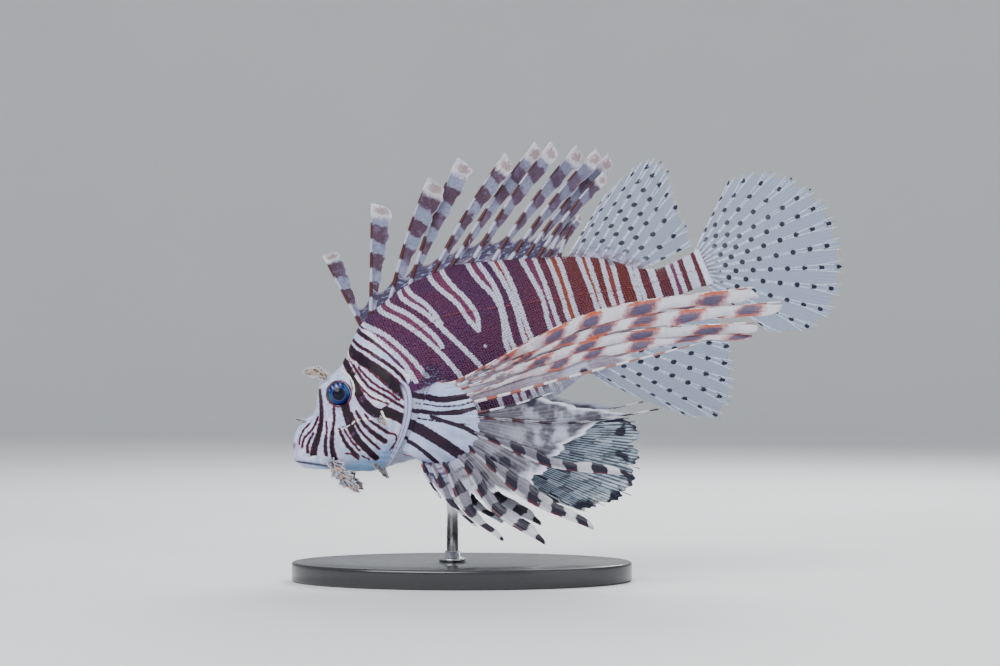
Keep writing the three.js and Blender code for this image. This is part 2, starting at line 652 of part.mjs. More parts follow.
// Assembly
function addMesh(group, name, made, color, roughness = 0.5) {
  const material = new THREE.MeshStandardMaterial({ color, roughness, metalness: 0 });
  const mesh = new THREE.Mesh(geometryOf(made), material);
  mesh.name = name;
  group.add(mesh);
}

const SKIN = 0x7a3550;
const FIN = 0xc9c3d6;
const root = new THREE.Group();
root.add(fish);
addMesh(fish, "head", headSolid(), SKIN);
addMesh(fish, "torso", torso, SKIN);
addMesh(fish, "tail", tail, SKIN);
addMesh(fish, "dorsal_fin_spiny", spinyDorsal(), FIN);
addMesh(fish, "dorsal_fin_soft", largest(medianFin(SOFT_DORSAL, 4, 1.2).subtract(flesh)), FIN);
addMesh(fish, "caudal_fin", largest(medianFin(CAUDAL, 4, 1).subtract(flesh)), FIN);
addMesh(fish, "anal_fin", largest(medianFin(ANAL, 4, 1.2).subtract(flesh)), FIN);
for (const [name, side] of Object.entries(SIDES)) {
  addMesh(fish, "eye_" + name, eyeSolid(side), 0x1a2550, 0.1);
  addMesh(fish, "pectoral_fin_upper_" + name, pectoral(PECTORAL_UPPER, side, 8), FIN);
  addMesh(fish, "pectoral_fin_lower_" + name, pectoral(PECTORAL_LOWER, side, 6), FIN);
  addMesh(fish, "pelvic_fin_" + name, pelvic(side), FIN);
  addMesh(fish, "brow_tentacle_" + name, largest(tentacle(BROW_TENTACLE, side)), SKIN);
  addMesh(fish, "mouth_barbel_" + name, mouthBarbel(side), SKIN);
}
addMesh(root, "stand_base", standBase(), 0x1c1d22, 0.35);
addMesh(root, "stand_rod", standRod(), 0x9a9da3, 0.3);

export default root;
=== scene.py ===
"""A red lionfish as a life-size still model on a museum stand.

The fish is laid out in its own frame, in millimetres: station runs back from the snout, across
runs to the fish's right, and level runs towards its back. to_world pitches it head down over the
stand, in metres.
"""

import math

import bpy
import numpy as np
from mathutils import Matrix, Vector


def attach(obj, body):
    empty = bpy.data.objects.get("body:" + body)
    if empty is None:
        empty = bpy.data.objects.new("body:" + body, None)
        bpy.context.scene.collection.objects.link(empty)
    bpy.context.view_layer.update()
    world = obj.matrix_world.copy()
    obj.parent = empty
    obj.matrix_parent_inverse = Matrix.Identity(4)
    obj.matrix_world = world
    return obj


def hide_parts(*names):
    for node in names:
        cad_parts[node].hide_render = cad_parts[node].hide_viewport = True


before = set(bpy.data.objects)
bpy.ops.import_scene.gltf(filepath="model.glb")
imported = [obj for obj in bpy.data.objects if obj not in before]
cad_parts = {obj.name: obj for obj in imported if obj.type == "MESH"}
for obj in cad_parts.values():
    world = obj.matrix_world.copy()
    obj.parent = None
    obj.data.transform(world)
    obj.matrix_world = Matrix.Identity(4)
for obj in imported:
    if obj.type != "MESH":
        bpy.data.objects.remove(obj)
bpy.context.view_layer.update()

MILLIMETRE = 0.001
PITCH = math.radians(23.8)
SNOUT_AT = (-86.9, 68.5)
SIDES = {"left": -1, "right": 1}

# Station, top, bottom, half width and level of the widest point of the body.
BODY = np.array([
    [-2.0, -5.0, -6.5, 1.2, -5.8],
    [-0.8, -1.0, -9.0, 4.2, -5.5],
    [1.5, 4.0, -11.2, 6.6, -4.5],
    [5.0, 8.0, -13.4, 8.6, -3.5],
    [10.0, 10.6, -15.6, 10.2, -2.5],
    [15.0, 12.0, -18.4, 11.4, -1.5],
    [18.5, 14.2, -20.6, 12.2, 0.0],
    [22.0, 20.0, -22.6, 13.2, 1.5],
    [26.0, 26.4, -24.6, 14.6, 2.5],
    [32.0, 28.8, -27.0, 16.6, 3.0],
    [40.0, 30.4, -28.4, 19.0, 2.5],
    [48.0, 36.8, -29.4, 21.0, 2.0],
    [58.0, 44.6, -31.0, 22.4, 2.0],
    [72.0, 49.8, -33.0, 22.4, 3.0],
    [90.0, 53.4, -34.2, 21.0, 5.0],
    [108.0, 53.6, -33.8, 18.8, 6.0],
    [130.0, 48.0, -31.0, 15.4, 6.0],
    [150.0, 41.0, -26.6, 11.8, 5.5],
    [170.0, 33.2, -20.0, 8.6, 4.0],
    [188.0, 23.6, -13.4, 6.2, 2.4],
    [200.0, 13.4, -9.4, 4.8, 1.0],
    [212.0, 8.6, -8.2, 4.0, 0.2],
    [224.0, 8.8, -8.6, 3.4, 0.0],
    [233.0, 9.8, -9.6, 2.2, 0.0],
])
FULLNESS_ABOVE = 1.12
FULLNESS_BELOW = 0.92
# Swell and reach are those of the skin round the eye.
EYE = {
    "station": 33.7, "level": 16.2, "across": 14.4, "radius": 6.2, "depth": 4.4, "swell": 2.4, "reach": 8.5,
}
MOUTH_FRONT = (-8.0, -2.6)
MOUTH_CORNER = (15.6, -17.2)
GILL_EDGE = [
    (54, 90), (55.5, 46), (61, 34), (66.5, 20), (69, 6), (66.5, -4), (58.5, -15), (49, -23.5),
    (40, -29), (34, -70),
]


def to_world(points):
    """Fish frame, in millimetres, to the row's frame, in metres."""
    points = np.asarray(points, float)
    station, across, level = points[..., 0], points[..., 1], points[..., 2]
    x = SNOUT_AT[0] + station * math.cos(PITCH) - level * math.sin(PITCH)
    z = SNOUT_AT[1] + station * math.sin(PITCH) + level * math.cos(PITCH)
    return np.stack([x, across, z], -1) / 1000


def to_fish(points):
    """The row's frame, in metres, to the fish frame, in millimetres."""
    points = np.asarray(points, float) * 1000
    x, z = points[..., 0] - SNOUT_AT[0], points[..., 2] - SNOUT_AT[1]
    station = x * math.cos(PITCH) + z * math.sin(PITCH)
    level = z * math.cos(PITCH) - x * math.sin(PITCH)
    return np.stack([station, points[..., 1], level], -1)


def curve_through(stations, values):
    """A smooth curve through values at rising stations, without overshoot."""
    stations, values = np.asarray(stations, float), np.asarray(values, float)
    slopes = np.diff(values) / np.diff(stations)
    before, after = slopes[:-1], slopes[1:]
    total = before + after
    total[total == 0] = 1
    inner = np.where(before * after <= 0, 0, 2 * before * after / total)
    tangents = np.concatenate([slopes[:1], inner, slopes[-1:]])

    def at(x):
        x = np.asarray(x, float)
        i = np.clip(np.searchsorted(stations, x) - 1, 0, len(stations) - 2)
        h = stations[i + 1] - stations[i]
        t = np.clip((x - stations[i]) / h, 0, 1)
        rise = values[i + 1] - values[i]
        start, end = h * tangents[i], h * tangents[i + 1]
        bow = 3 * rise - 2 * start - end + t * (start + end - 2 * rise)
        return values[i] + t * (start + t * bow)

    return at


body_top = curve_through(BODY[:, 0], BODY[:, 1])
body_bottom = curve_through(BODY[:, 0], BODY[:, 2])
body_half = curve_through(BODY[:, 0], BODY[:, 3])
body_level = curve_through(BODY[:, 0], BODY[:, 4])


def smooth(low, high, x):
    """0 below low, 1 above high and a smooth step between them."""
    t = np.clip((np.asarray(x, float) - low) / (high - low), 0, 1)
    return t * t * (3 - 2 * t)


def bump(x, width):
    """A bell of height 1 at 0."""
    return np.exp(-((np.asarray(x, float) / width) ** 2))


def eye_swell(station, level):
    """How far the skin swells round the eye."""
    from_eye = np.hypot(station - EYE["station"], level - EYE["level"]) / EYE["reach"]
    return EYE["swell"] * np.exp(-(from_eye**2))


def body_point(station, angle, grow=0.0):
    """The plain body at a station and an angle round from the back, swollen by grow."""
    level = body_level(station)
    half = body_half(station) + grow
    across, up = np.sin(angle), np.cos(angle)
    top, bottom = body_top(station), body_bottom(station)
    height = np.where(up > 0, top + grow - level, level - bottom + grow)
    fullness = np.where(up > 0, FULLNESS_ABOVE, FULLNESS_BELOW)
    y = half * np.sign(across) * np.abs(across) ** fullness
    z = level + height * up
    y = y + np.sign(across) * eye_swell(station, z) * np.minimum(1, np.abs(across) * 2)
    between_eyes = bump(station - EYE["station"], 7.0) * bump(y, 4.5)
    z = z - np.where(up > 0, 2.6 * between_eyes, 0)
    return np.stack([np.broadcast_to(station, y.shape), y, z], -1)


def skin_width(station, level):
    """How far the body stands off the middle plane at a place in side view."""
    station, level = np.asarray(station, float), np.asarray(level, float)
    middle = body_level(station)
    height = np.where(level > middle, body_top(station) - middle, middle - body_bottom(station))
    up = np.clip(np.abs(level - middle) / height, 0, 1)
    power = np.where(level > middle, FULLNESS_ABOVE, FULLNESS_BELOW)
    return body_half(station) * np.sqrt(1 - up * up) ** power + eye_swell(station, level)


def line_distance(x, y, points):
    """The distance in a plane from each place to an open line, and the share of the way along it."""
    points = np.asarray(points, float)
    lengths = np.hypot(*np.diff(points, axis=0).T)
    starts = np.concatenate([[0], np.cumsum(lengths)])
    best = np.full(np.shape(x), 1e9)
    share = np.zeros(np.shape(x))
    for (ax, ay), (bx, by), start, length in zip(points[:-1], points[1:], starts, lengths):
        dx, dy = bx - ax, by - ay
        t = np.clip(((x - ax) * dx + (y - ay) * dy) / (length * length), 0, 1)
        d = np.hypot(x - ax - t * dx, y - ay - t * dy)
        nearer = d < best
        best = np.where(nearer, d, best)
        share = np.where(nearer, (start + t * length) / starts[-1], share)
    return best, share


# Markings, as centre lines in side view (station, level), alike on both sides.
# The white stripes of the trunk run in pairs, with a thin line of pink or rust between the two.
WHITE_PAIRS = [
    (0.1, [(49.6, 36.8), (53.8, 29.5), (58.6, 24.2), (63.3, 16.3), (68.6, 7.9)],
     [(52.8, 37.9), (57.5, 32.6), (60.2, 26.3), (64.9, 19.5), (70.2, 9.5)]),
    (0.15, [(54.9, 42), (60.2, 38.4), (66.5, 26.8), (70.7, 17.4), (72.5, 6)],
     [(58.6, 44.7), (60.7, 41.6), (67.5, 34.7), (74, 21.3), (78.7, 6)]),
    (0.2, [(70.7, 52), (68.7, 47), (76.7, 38.7), (85.3, 25.3), (93.3, 4.7), (96, -12), (95, -34)],
     [(75, 52), (74.7, 47.7), (82.7, 39.3), (90, 25.3), (92, 17)]),
    (0.15, [(82.7, 54), (82, 48), (90.7, 36.7), (96.7, 22.7), (105.3, 2), (108, -12), (107, -34)],
     [(86.7, 54), (87.3, 48), (93.3, 40), (96, 28)]),
    (0.25, [(99.3, 56), (100.7, 47.3), (108, 34), (109.3, 24), (112, 17)],
     [(106.7, 56), (107.3, 47.3), (113.3, 32.7), (114.7, 23.3), (112, 17)]),
    (0.1, [(114, -3), (116, -14), (115, -34)], [(118.5, -3), (120, -14), (119, -34)]),
    (0.3, [(120, 54), (121.3, 42.7), (127.3, 28), (126, 17.3), (120.7, 2.7), (125, -12), (125, -34)],
     [(124.7, 54), (128.7, 36), (128.5, 25), (124, 2.7), (129, -12), (129, -34)]),
    (0.8, [(131.3, 50), (133.7, 37.3), (134.7, 22.7), (131, 2.7), (134, -12), (135, -30)],
     [(136, 50), (137.3, 37.3), (136.7, 22.7), (134.7, 2.7), (138, -12), (139, -30)]),
    (0.3, [(147.1, 46), (147.1, 36.4), (149.3, 19.3), (145.4, 3.6), (147, -12), (148, -30)],
     [(153.2, 44), (153.2, 33.6), (152.1, 16.4), (150.7, 5), (152, -12), (153, -28)]),
    (1.0, [(159.6, 40), (159.4, 30), (158.2, 14.3), (156.4, 4.3), (157, -22)],
     [(164.3, 38), (164.3, 30), (162.5, 13.6), (161.1, 4.3), (161.5, -22)]),
    (1.0, [(174.3, 34), (173.6, 19.3), (172.5, 3.6), (171, -20)],
     [(178.6, 32), (177.5, 19.3), (175.7, 3.6), (174.4, -18)]),
    (0.6, [(185.4, 28), (183.9, 20.7), (181.1, 4.3), (180, -16)],
     [(188.9, 27), (188.9, 19.3), (185.7, 3.6), (184, -14)]),
    (0.3, [(196.6, 18), (195.4, 8.6), (193.6, -12)], [(199.4, 16), (197.9, 7.9), (196.6, -11)]),
    (0.1, [(205.4, 11), (204.6, 5), (203.6, -10)], [(206.6, 11), (205.8, 5), (204.6, -10)]),
    (0.1, [(214.9, 10), (214.3, 5.7), (213, -10)], [(219, 10), (218.6, 5), (217.6, -10)]),
    (0.1, [(224.4, 10), (223.6, 2), (222.8, -10)], [(226.6, 10), (226, 2), (225.2, -10)]),
    (0.1, [(231.4, 10), (231, 2), (230.6, -10)], [(233, 10), (233, 2), (233, -10)]),
]
# Dark lines on the pale head: half width where they start and end, then the line.
HEAD_LINES = [
    (2.0, 2.1, [(46.4, 38), (47.8, 33), (51.9, 26.6), (56.6, 20.4), (59.6, 14), (62.3, 7.2), (65, 2.6)]),
    (1.2, 2.3, [(42.6, 31), (43.9, 20), (42.9, 12.6), (43.8, 6.4), (46.6, 0.2), (50.4, -2.6)]),
    (2.1, 2.3, [(52.4, -1.6), (55.6, -5), (59, -8.9)]),
    (0.6, 0.75, [(50.8, 39), (52.4, 34.6), (55.7, 31), (58.2, 26.8), (61.2, 22.6), (64.4, 17.6), (67.2, 11),
                 (69, 5.6)]),
    (0.9, 0.8, [(54.6, 43), (57, 38), (60.8, 33.6), (63.6, 28.3), (67.3, 22.4), (70.8, 14.6), (72.4, 8)]),
    (0.3, 0.45, [(49.4, 26.4), (53.4, 20), (56.6, 13.4), (60.2, 6.2), (63.4, 0.4)]),
    (0.35, 0.5, [(51.4, 32), (55.4, 25.2), (60, 18.6), (63.6, 11.4), (66.6, 4)]),
    (1.8, 1.3, [(34.2, 9.4), (33, 3.6), (32.2, -5.8), (33.6, -11.5), (37.5, -21.4)]),
    (0.5, 0.55, [(45.3, 35), (46.3, 26), (47.6, 19), (49.5, 12.5), (53.8, 7.6), (57.6, 2), (61.6, -3.6)]),
    (0.35, 0.5, [(48.3, 24.5), (50.4, 18), (53.1, 12.4), (57.6, 7), (60.8, 1)]),
    (0.3, 0.45, [(45.2, 19), (46.4, 12), (49, 7), (52.2, 4.4), (55, 1.4)]),
    (0.6, 0.5, [(35.5, 4.6), (35.7, -1.6), (36.5, -6.8), (38.6, -12.1), (41.2, -17.9)]),
    (0.5, 1.2, [(38.4, 4.4), (38.9, -2.1), (40.7, -6.8), (42.8, -11), (45.4, -15.3)]),
    (0.4, 0.7, [(41.8, 1.4), (42.8, -2.6), (45.4, -6.8), (48.8, -12)]),
    (0.6, 0.9, [(26.5, -0.5), (26.2, -5.8), (27, -10.5), (29.2, -17)]),
    (0.35, 0.4, [(28.8, -0.5), (29.1, -5.8), (30.4, -11), (31.4, -14.6)]),
    (0.8, 1.2, [(22.6, -0.3), (20.2, -4.7), (18.6, -8.9), (17.8, -13.4)]),
    (0.7, 0.8, [(18.2, -2.0), (15.9, -5.8), (14.8, -9.6)]),
    (0.6, 1.5, [(24.8, 22), (23.3, 16.3), (21.2, 10.4), (18.4, 5.2), (14, -0.4), (10.6, -4), (8.8, -6.8)]),
    (0.45, 0.4, [(18.6, 9.6), (15, 6), (12.3, 4.4), (7.2, 2.6), (4.8, -1.4)]),
    (0.35, 0.3, [(12.9, 8.2), (9.6, 6.9), (6.4, 4.6), (4, 1)]),
    (0.4, 0.6, [(13.2, 3.2), (10.6, 1), (7.6, -1.4), (6.6, -4.8)]),
    (0.6, 0.5, [(28.1, 10.4), (26.4, 5.6), (24.6, 2.4), (22.4, -0.4)]),
    (0.3, 0.4, [(21.6, 5.6), (20.4, 1.6), (18.2, -1.6)]),
    (0.35, 0.3, [(49, -12.5), (52.4, -14.4), (51, -18), (46, -20.6)]),
    (0.25, 0.35, [(62.4, -10.4), (57.4, -16), (50.6, -21.4), (44.6, -25.2)]),
    (0.25, 0.3, [(59.6, -9.6), (54.4, -14.8), (51.8, -17.8), (46.4, -22.2)]),
    (0.3, 0.25, [(24, -13), (27, -14.6), (28.8, -18.4)]),
    (0.25, 0.3, [(31.4, -17.6), (34, -21)]),
    (0.3, 0.3, [(57, -23.4), (62, -26.8), (66, -29)]),
]
# Short pale lines over the dark bar behind the eye, on the cheek and at the lips: half width, then
# the line
CREAM_LINES = [
    (0.5, [(39.4, 27), (42.2, 22.6), (42.7, 18.4), (41.6, 14.4), (39.6, 11.6)]),
    (0.5, [(46.4, 36.6), (45.2, 32), (46.8, 27.4)]),
    (0.5, [(45.2, 21), (46.3, 15.8), (48.4, 10.6), (51.4, 6.6), (54.2, 3)]),
    (0.42, [(24.4, -0.6), (26, -0.8)]),
    (0.38, [(27.6, -0.9), (29.2, -0.9)]),
    (0.4, [(30.8, -0.8), (32.4, -0.6)]),
    (0.45, [(34, -0.4), (35.6, 0.2)]),
    (0.4, [(37, 0.3), (38.6, -0.1)]),
    (0.42, [(40, -0.6), (41.6, -1.2)]),
    (0.38, [(43, -1.8), (44.2, -2.4)]),
    (0.6, [(50.4, -1), (50.2, -4.6), (52, -6.2)]),
    (0.7, [(7.6, -8.2), (9.2, -8.4)]),
    (0.6, [(23.6, 6.3), (25.2, 5.8)]),
]
# The line of pores along the side
LATERAL_LINE = [
    (80, 30), (98, 31), (107, 29.3), (114, 27.5), (125, 24), (145, 19), (158, 15), (168, 13), (180, 9),
    (200, 4), (230, 0),
]
# Dark lines on the fleshy lobe of the pectoral fin: half width, then the line
LOBE_BANDS = [
    (1.5, [(66, 2), (72, -2), (80, -7.4), (91.7, -11.2), (97, -11)]),
    (0.3, [(68, -4), (76, -9), (88, -14), (98, -15)]),
    (1.1, [(62, -5), (67, -8), (78.3, -14.1), (89.3, -17.4), (99, -19)]),
    (0.35, [(66, -11.5), (74, -16), (84, -22), (93, -26)]),
    (2.8, [(60, -12), (66.7, -18), (73.3, -28), (79.3, -38.7)]),
    (1.1, [(74, -14), (86, -24.7), (95, -37)]),
    (1.0, [(56, -18), (62, -26), (66, -36)]),
]
# The hollow above the pectoral fin's root
AXIL = (81, 5.5)


def rounded(line, turns=2):
    """The same line with its corners rounded off."""
    line = np.asarray(line, float)
    for _ in range(turns):
        near = line[:-1] * 0.75 + line[1:] * 0.25
        far = line[:-1] * 0.25 + line[1:] * 0.75
        inner = np.stack([near, far], 1).reshape(-1, 2)
        line = np.concatenate([line[:1], inner[1:-1], line[-1:]])
    return line


def line_sum(x, y, lines, widths):
    """The least distance to the edge of any of the lines, below 0 inside one."""
    best = np.full(np.shape(x), 30.0)
    for line, (start, end) in zip(lines, widths):
        line = rounded(line)
        low, high = line.min(0) - 8, line.max(0) + 8
        near = (x > low[0]) & (x < high[0]) & (y > low[1]) & (y < high[1])
        if near.any():
            distance, share = line_distance(x[near], y[near], line)
            best[near] = np.minimum(best[near], distance - (start + (end - start) * share))
    return best


def gill_offset(station, level):
    """How far a place lies behind the gill cover's rear edge, below 0 on the head."""
    edge = rounded(GILL_EDGE[1:-1])
    order = np.argsort(edge[:, 1])
    return station - np.interp(level, edge[order, 1], edge[order, 0])


def axil_distance(s, z):
    """The distance from the hollow, which reaches up and back."""
    back, up = s - AXIL[0], z - AXIL[1]
    away = np.hypot((back * 0.5 + up * 0.87) / 1.2, (back * 0.87 - up * 0.5) * 1.1)
    return away + 0.9 * np.sin(s * 1.1) * np.sin(z * 0.9) + 2.5 * smooth(4, -1, z)


def axil_curls(s, z):
    """Above 0 in three thin curls of the hollow."""
    lines = [
        [(76, 5.5), (77.4, 2.4), (81.6, 1.6), (84.6, 3.6)],
        [(77.8, 8), (79.4, 5.2), (82.6, 4.6), (85, 6.6)],
        [(80.4, 10.6), (81.4, 8.6), (83.6, 8.2)],
    ]
    return 0.6 - line_sum(s, z, lines, [(0.25, 0.1)] * 3)


def lobe_edge(s, z):
    """The distance to the edge of the dark lines of the pectoral fin's lobe."""
    return line_sum(s, z, [line for _, line in LOBE_BANDS], [(w, w) for w, _ in LOBE_BANDS])


def skin_marks(points):
    """Every marking of the skin at places in the fish frame, by name, with the painted shade of the axil
    hollow, the mouth slit and the eye socket's edge.
    """
    s, z = points[:, 0], points[:, 2]
    wobble = 0.35 * np.sin(s * 1.9 + z * 0.7) * np.sin(z * 1.3 - s * 0.4)
    behind = gill_offset(s, z)
    marks = {"behind_gill": behind}
    stripes = [line for _, *pair in WHITE_PAIRS for line in pair]
    marks["white"] = line_sum(s, z, stripes, [(1.25, 1.15)] * len(stripes)) + 0.4 * wobble
    between = np.zeros(len(s))
    for rust, first, second in WHITE_PAIRS:
        a, b = (np.asarray(line, float)[::-1] for line in (first, second))
        front, back = np.interp(z, a[:, 1], a[:, 0]), np.interp(z, b[:, 1], b[:, 0])
        inside = smooth(-0.2, 0.4, s - front) * (1 - smooth(-0.4, 0.2, s - back))
        inside = inside * (z > max(a[0, 1], b[0, 1])) * (z < min(a[-1, 1], b[-1, 1]))
        between = np.maximum(between, inside * (0.35 + 0.65 * rust))
    marks["between"] = between
    widths = [(0.12 + 1.18 * start, 0.12 + 1.18 * end) for start, end, _ in HEAD_LINES]
    dark = line_sum(s, z, [line for _, _, line in HEAD_LINES], widths) + 0.45 * wobble
    # A ring of painted shade where the skin meets the eyeball, at the socket's edge, joined to the dark
    # head lines.
    socket_shade = np.abs(np.hypot(s - EYE["station"], z - EYE["level"]) - 6.5) - 0.4
    marks["dark"] = np.minimum(dark, socket_shade)
    widths = [(w, w * 0.7) for w, _ in CREAM_LINES]
    marks["cream"] = line_sum(s, z, [line for _, line in CREAM_LINES], widths)
    marks["lateral"] = line_sum(s, z, [LATERAL_LINE], [(0.3, 0.2)])
    # Painted shade in the hollow above the pectoral fin's root, and small round dark spots along the back
    # under the dorsal fins and one on the gill cover's rear edge.
    night = 1 - smooth(2, 8, axil_distance(s, z))
    for at, level, radius in ((160, 39, 3.6), (171, 36, 3.6), (190, 23, 4), (66, 22, 1.5)):
        away = np.hypot(s - at, (z - level) * 1.2)
        night = np.maximum(night, 1 - smooth(radius * 0.6, radius * 1.3, away))
    marks["night"] = night
    marks["curls"] = axil_curls(s, z)
    marks["pearl"] = np.hypot((s - 112) * 1.4, z - 8.3) - 1.1
    under_lobe = (1 - smooth(-1, 4, z)) * (1 - smooth(82, 92, s))
    belly = (1 - smooth(2, 13, z - body_bottom(s))) * (1 - smooth(150, 190, s))
    marks["belly"] = np.maximum(belly, under_lobe)
    low = 1 - smooth(2, 9, z)
    marks["fold"] = low * smooth(-4.6, -3.9, behind) * (1 - smooth(0.6, 1.4, behind))
    marks["fold_line"] = low * (bump(behind + 2.3, 0.32) + 0.8 * bump(behind + 4.1, 0.3))
    chest = (behind > -0.5) & (z < 7) & (s < 90)
    marks["lobe_line"] = np.where(chest, lobe_edge(s, z), 9.0)
    # Painted shade in the mouth slit between the lips.
    mouth, _ = line_distance(s, z, [MOUTH_FRONT, MOUTH_CORNER])
    marks["slit"] = bump(mouth, 0.55) * (1 - smooth(14, 17, s))
    marks["snout_blob"] = bump(np.hypot(s - 0.4, z - 1.2), 1.9)
    return marks


# Making meshes
def put_attributes(mesh, values):
    """Keeps one number a vertex for each name."""
    for name, numbers in values.items():
        layer = mesh.attributes.new(name, "FLOAT", "POINT")
        layer.data.foreach_set("value", np.asarray(numbers, np.float32).ravel())


def read_numbers(mesh, name):
    """An attribute that holds one number a vertex."""
    numbers = np.empty(len(mesh.attributes[name].data), np.float32)
    mesh.attributes[name].data.foreach_get("value", numbers)
    return numbers.astype(float)


def vertices(mesh):
    """The places of a mesh's vertices."""
    co = np.empty(len(mesh.vertices) * 3)
    mesh.vertices.foreach_get("co", co)
    return co.reshape(-1, 3)


def put_in_scene(name, data):
    """An object of that data, in the scene."""
    made = bpy.data.objects.new(name, data)
    bpy.context.scene.collection.objects.link(made)
    return made


def mesh_from(name, points, faces, values=None, place=to_world, edges=()):
    """An object from points and faces. place turns the points into the row's frame."""
    mesh = bpy.data.meshes.new(name)
    mesh.from_pydata(place(np.asarray(points, float)), list(edges), faces)
    mesh.update()
    put_attributes(mesh, values or {})
    mesh.shade_smooth()
    return put_in_scene(name, mesh)


def as_given(points):
    """Leaves points that are in the row's frame where they are."""
    return points


def face_out(made):
    """Turns a closed mesh's faces outwards."""
    mesh = made.data
    mesh.calc_loop_triangles()
    tri = np.empty(len(mesh.loop_triangles) * 3, int)
    mesh.loop_triangles.foreach_get("vertices", tri)
    a, b, c = vertices(mesh)[tri.reshape(-1, 3)].transpose(1, 0, 2)
    if np.einsum("ij,ij->", a, np.cross(b, c)) < 0:
        mesh.flip_normals()
    return made


def grid_faces(rows, columns, wrap):
    """Four-sided faces over a grid of points, closed round the columns where wrap is set."""
    i, j = np.meshgrid(np.arange(rows - 1), np.arange(columns if wrap else columns - 1), indexing="ij")
    after = (j + 1) % columns
    corners = [i * columns + j, i * columns + after, (i + 1) * columns + after, (i + 1) * columns + j]
    return np.stack(corners, -1).reshape(-1, 4).tolist()


def capped(faces, count, around):
    """The faces of a tube of rings, closed at its ends on two middle points that follow count others."""
    for j in range(around):
        after = (j + 1) % around
        faces.append([after, j, count])
        faces.append([count - around + j, count - around + after, count + 1])
    return faces


def shares(rows, columns, down=(0, 1), over=(0, 1)):
    """Two grids of numbers, one that runs down the rows and one that runs across them."""
    return np.meshgrid(np.linspace(*down, rows), np.linspace(*over, columns), indexing="ij")


def length_of(line):
    """The length of a line through points."""
    return np.linalg.norm(np.diff(line, axis=0), axis=1).sum()


def settle(made, material, nodes=()):
    """Gives a finished piece its material and its body, and hides the model's parts that it stands for."""
    if material is not None:
        made.data.materials.clear()
        made.data.materials.append(material)
    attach(made, "root")
    if nodes:
        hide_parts(*nodes)
    return made


# Geometry Nodes: sockets by name, links by short calls
class Tree:
    """A node tree under construction."""

    def __init__(self, tree):
        self.tree = tree

    def add(self, kind, **settings):
        node = self.tree.nodes.new(kind)
        for name, value in settings.items():
            setattr(node, name, value)
        return node

    def link(self, source, node, socket_shade):
        self.tree.links.new(source, node.inputs[socket_shade])

    def named(self, name, kind="FLOAT"):
        """The points' own attribute of that name."""
        node = self.add("GeometryNodeInputNamedAttribute", data_type=kind)
        node.inputs["Name"].default_value = name
        return node.outputs["Attribute"]

    def product(self, a, b):
        node = self.add("ShaderNodeMath", operation="MULTIPLY")
        self.link(a, node, 0)
        self.link(b, node, 1)
        return node.outputs[0]

    def dressed(self, shapes, material, end):
        """Makes the instances real, gives them a material and ends the tree with them."""
        real = self.add("GeometryNodeRealizeInstances")
        self.link(shapes, real, "Geometry")
        dress = self.add("GeometryNodeSetMaterial")
        dress.inputs["Material"].default_value = material
        self.link(real.outputs["Geometry"], dress, "Geometry")
        self.link(dress.outputs["Geometry"], end, "Geometry")
        return self.tree


def geometry_tree(name, sizes):
    """A Geometry Nodes tree with a geometry input and named sizes, with its start and end nodes."""
    tree = bpy.data.node_groups.new(name, "GeometryNodeTree")
    tree.interface.new_socket("Geometry", in_out="INPUT", socket_type="NodeSocketGeometry")
    tree.interface.new_socket("Geometry", in_out="OUTPUT", socket_type="NodeSocketGeometry")
    for size in sizes:
        tree.interface.new_socket(size, in_out="INPUT", socket_type="NodeSocketFloat")
    build = Tree(tree)
    return build, build.add("NodeGroupInput"), build.add("NodeGroupOutput")


def baked(made, tree, sizes, name):
    """The mesh that a tree makes of an object, as a plain object with nothing live on it."""
    modifier = made.modifiers.new(name, "NODES")
    modifier.node_group = tree
    for item in tree.interface.items_tree:
        if item.item_type == "SOCKET" and item.in_out == "INPUT" and item.name in sizes:
            modifier[item.identifier] = sizes[item.name]
    bpy.context.view_layer.update()
    result = made.evaluated_get(bpy.context.evaluated_depsgraph_get())
    plain = put_in_scene(name, bpy.data.meshes.new_from_object(result))
    bpy.data.objects.remove(made)
    return plain


def ray_tree(material):
    """Round rods along every edge chain, as thick as the thick attribute says, in millimetres."""
    build, start, end = geometry_tree("fin_rays", ["Sides", "Thickness"])
    curve = build.add("GeometryNodeMeshToCurve")
    build.link(start.outputs["Geometry"], curve, "Mesh")
    circle = build.add("GeometryNodeCurvePrimitiveCircle")
    whole = build.add("FunctionNodeFloatToInt")
    build.link(start.outputs["Sides"], whole, "Float")
    build.link(whole.outputs["Integer"], circle, "Resolution")
    circle.inputs["Radius"].default_value = 1.0
    rods = build.add("GeometryNodeCurveToMesh")
    build.link(circle.outputs["Curve"], rods, "Profile Curve")
    rods.inputs["Fill Caps"].default_value = True
    build.link(curve.outputs["Curve"], rods, "Curve")
    build.link(build.product(build.named("thick"), start.outputs["Thickness"]), rods, "Scale")
    return build.dressed(rods.outputs["Mesh"], material, end)


def make_rods(name, lines, material, sides, nodes=()):
    """Tapered rods along lines. Each line has points, thick and further numbers for each point."""
    points, edges, values, first = [], [], {}, 0
    for line in lines:
        count = len(line["points"])
        points.append(line["points"])
        edges += [(first + i, first + i + 1) for i in range(count - 1)]
        first += count
        for key, numbers in line.items():
            if key != "points":
                values.setdefault(key, []).append(np.broadcast_to(numbers, count))
    values = {key: np.concatenate(numbers) for key, numbers in values.items()}
    made = mesh_from(name + "_lines", np.concatenate(points), [], values, edges=edges)
    rods = baked(made, ray_tree(material), {"Sides": float(sides), "Thickness": MILLIMETRE}, name)
    rods.data.shade_smooth()
    return settle(rods, material, nodes)


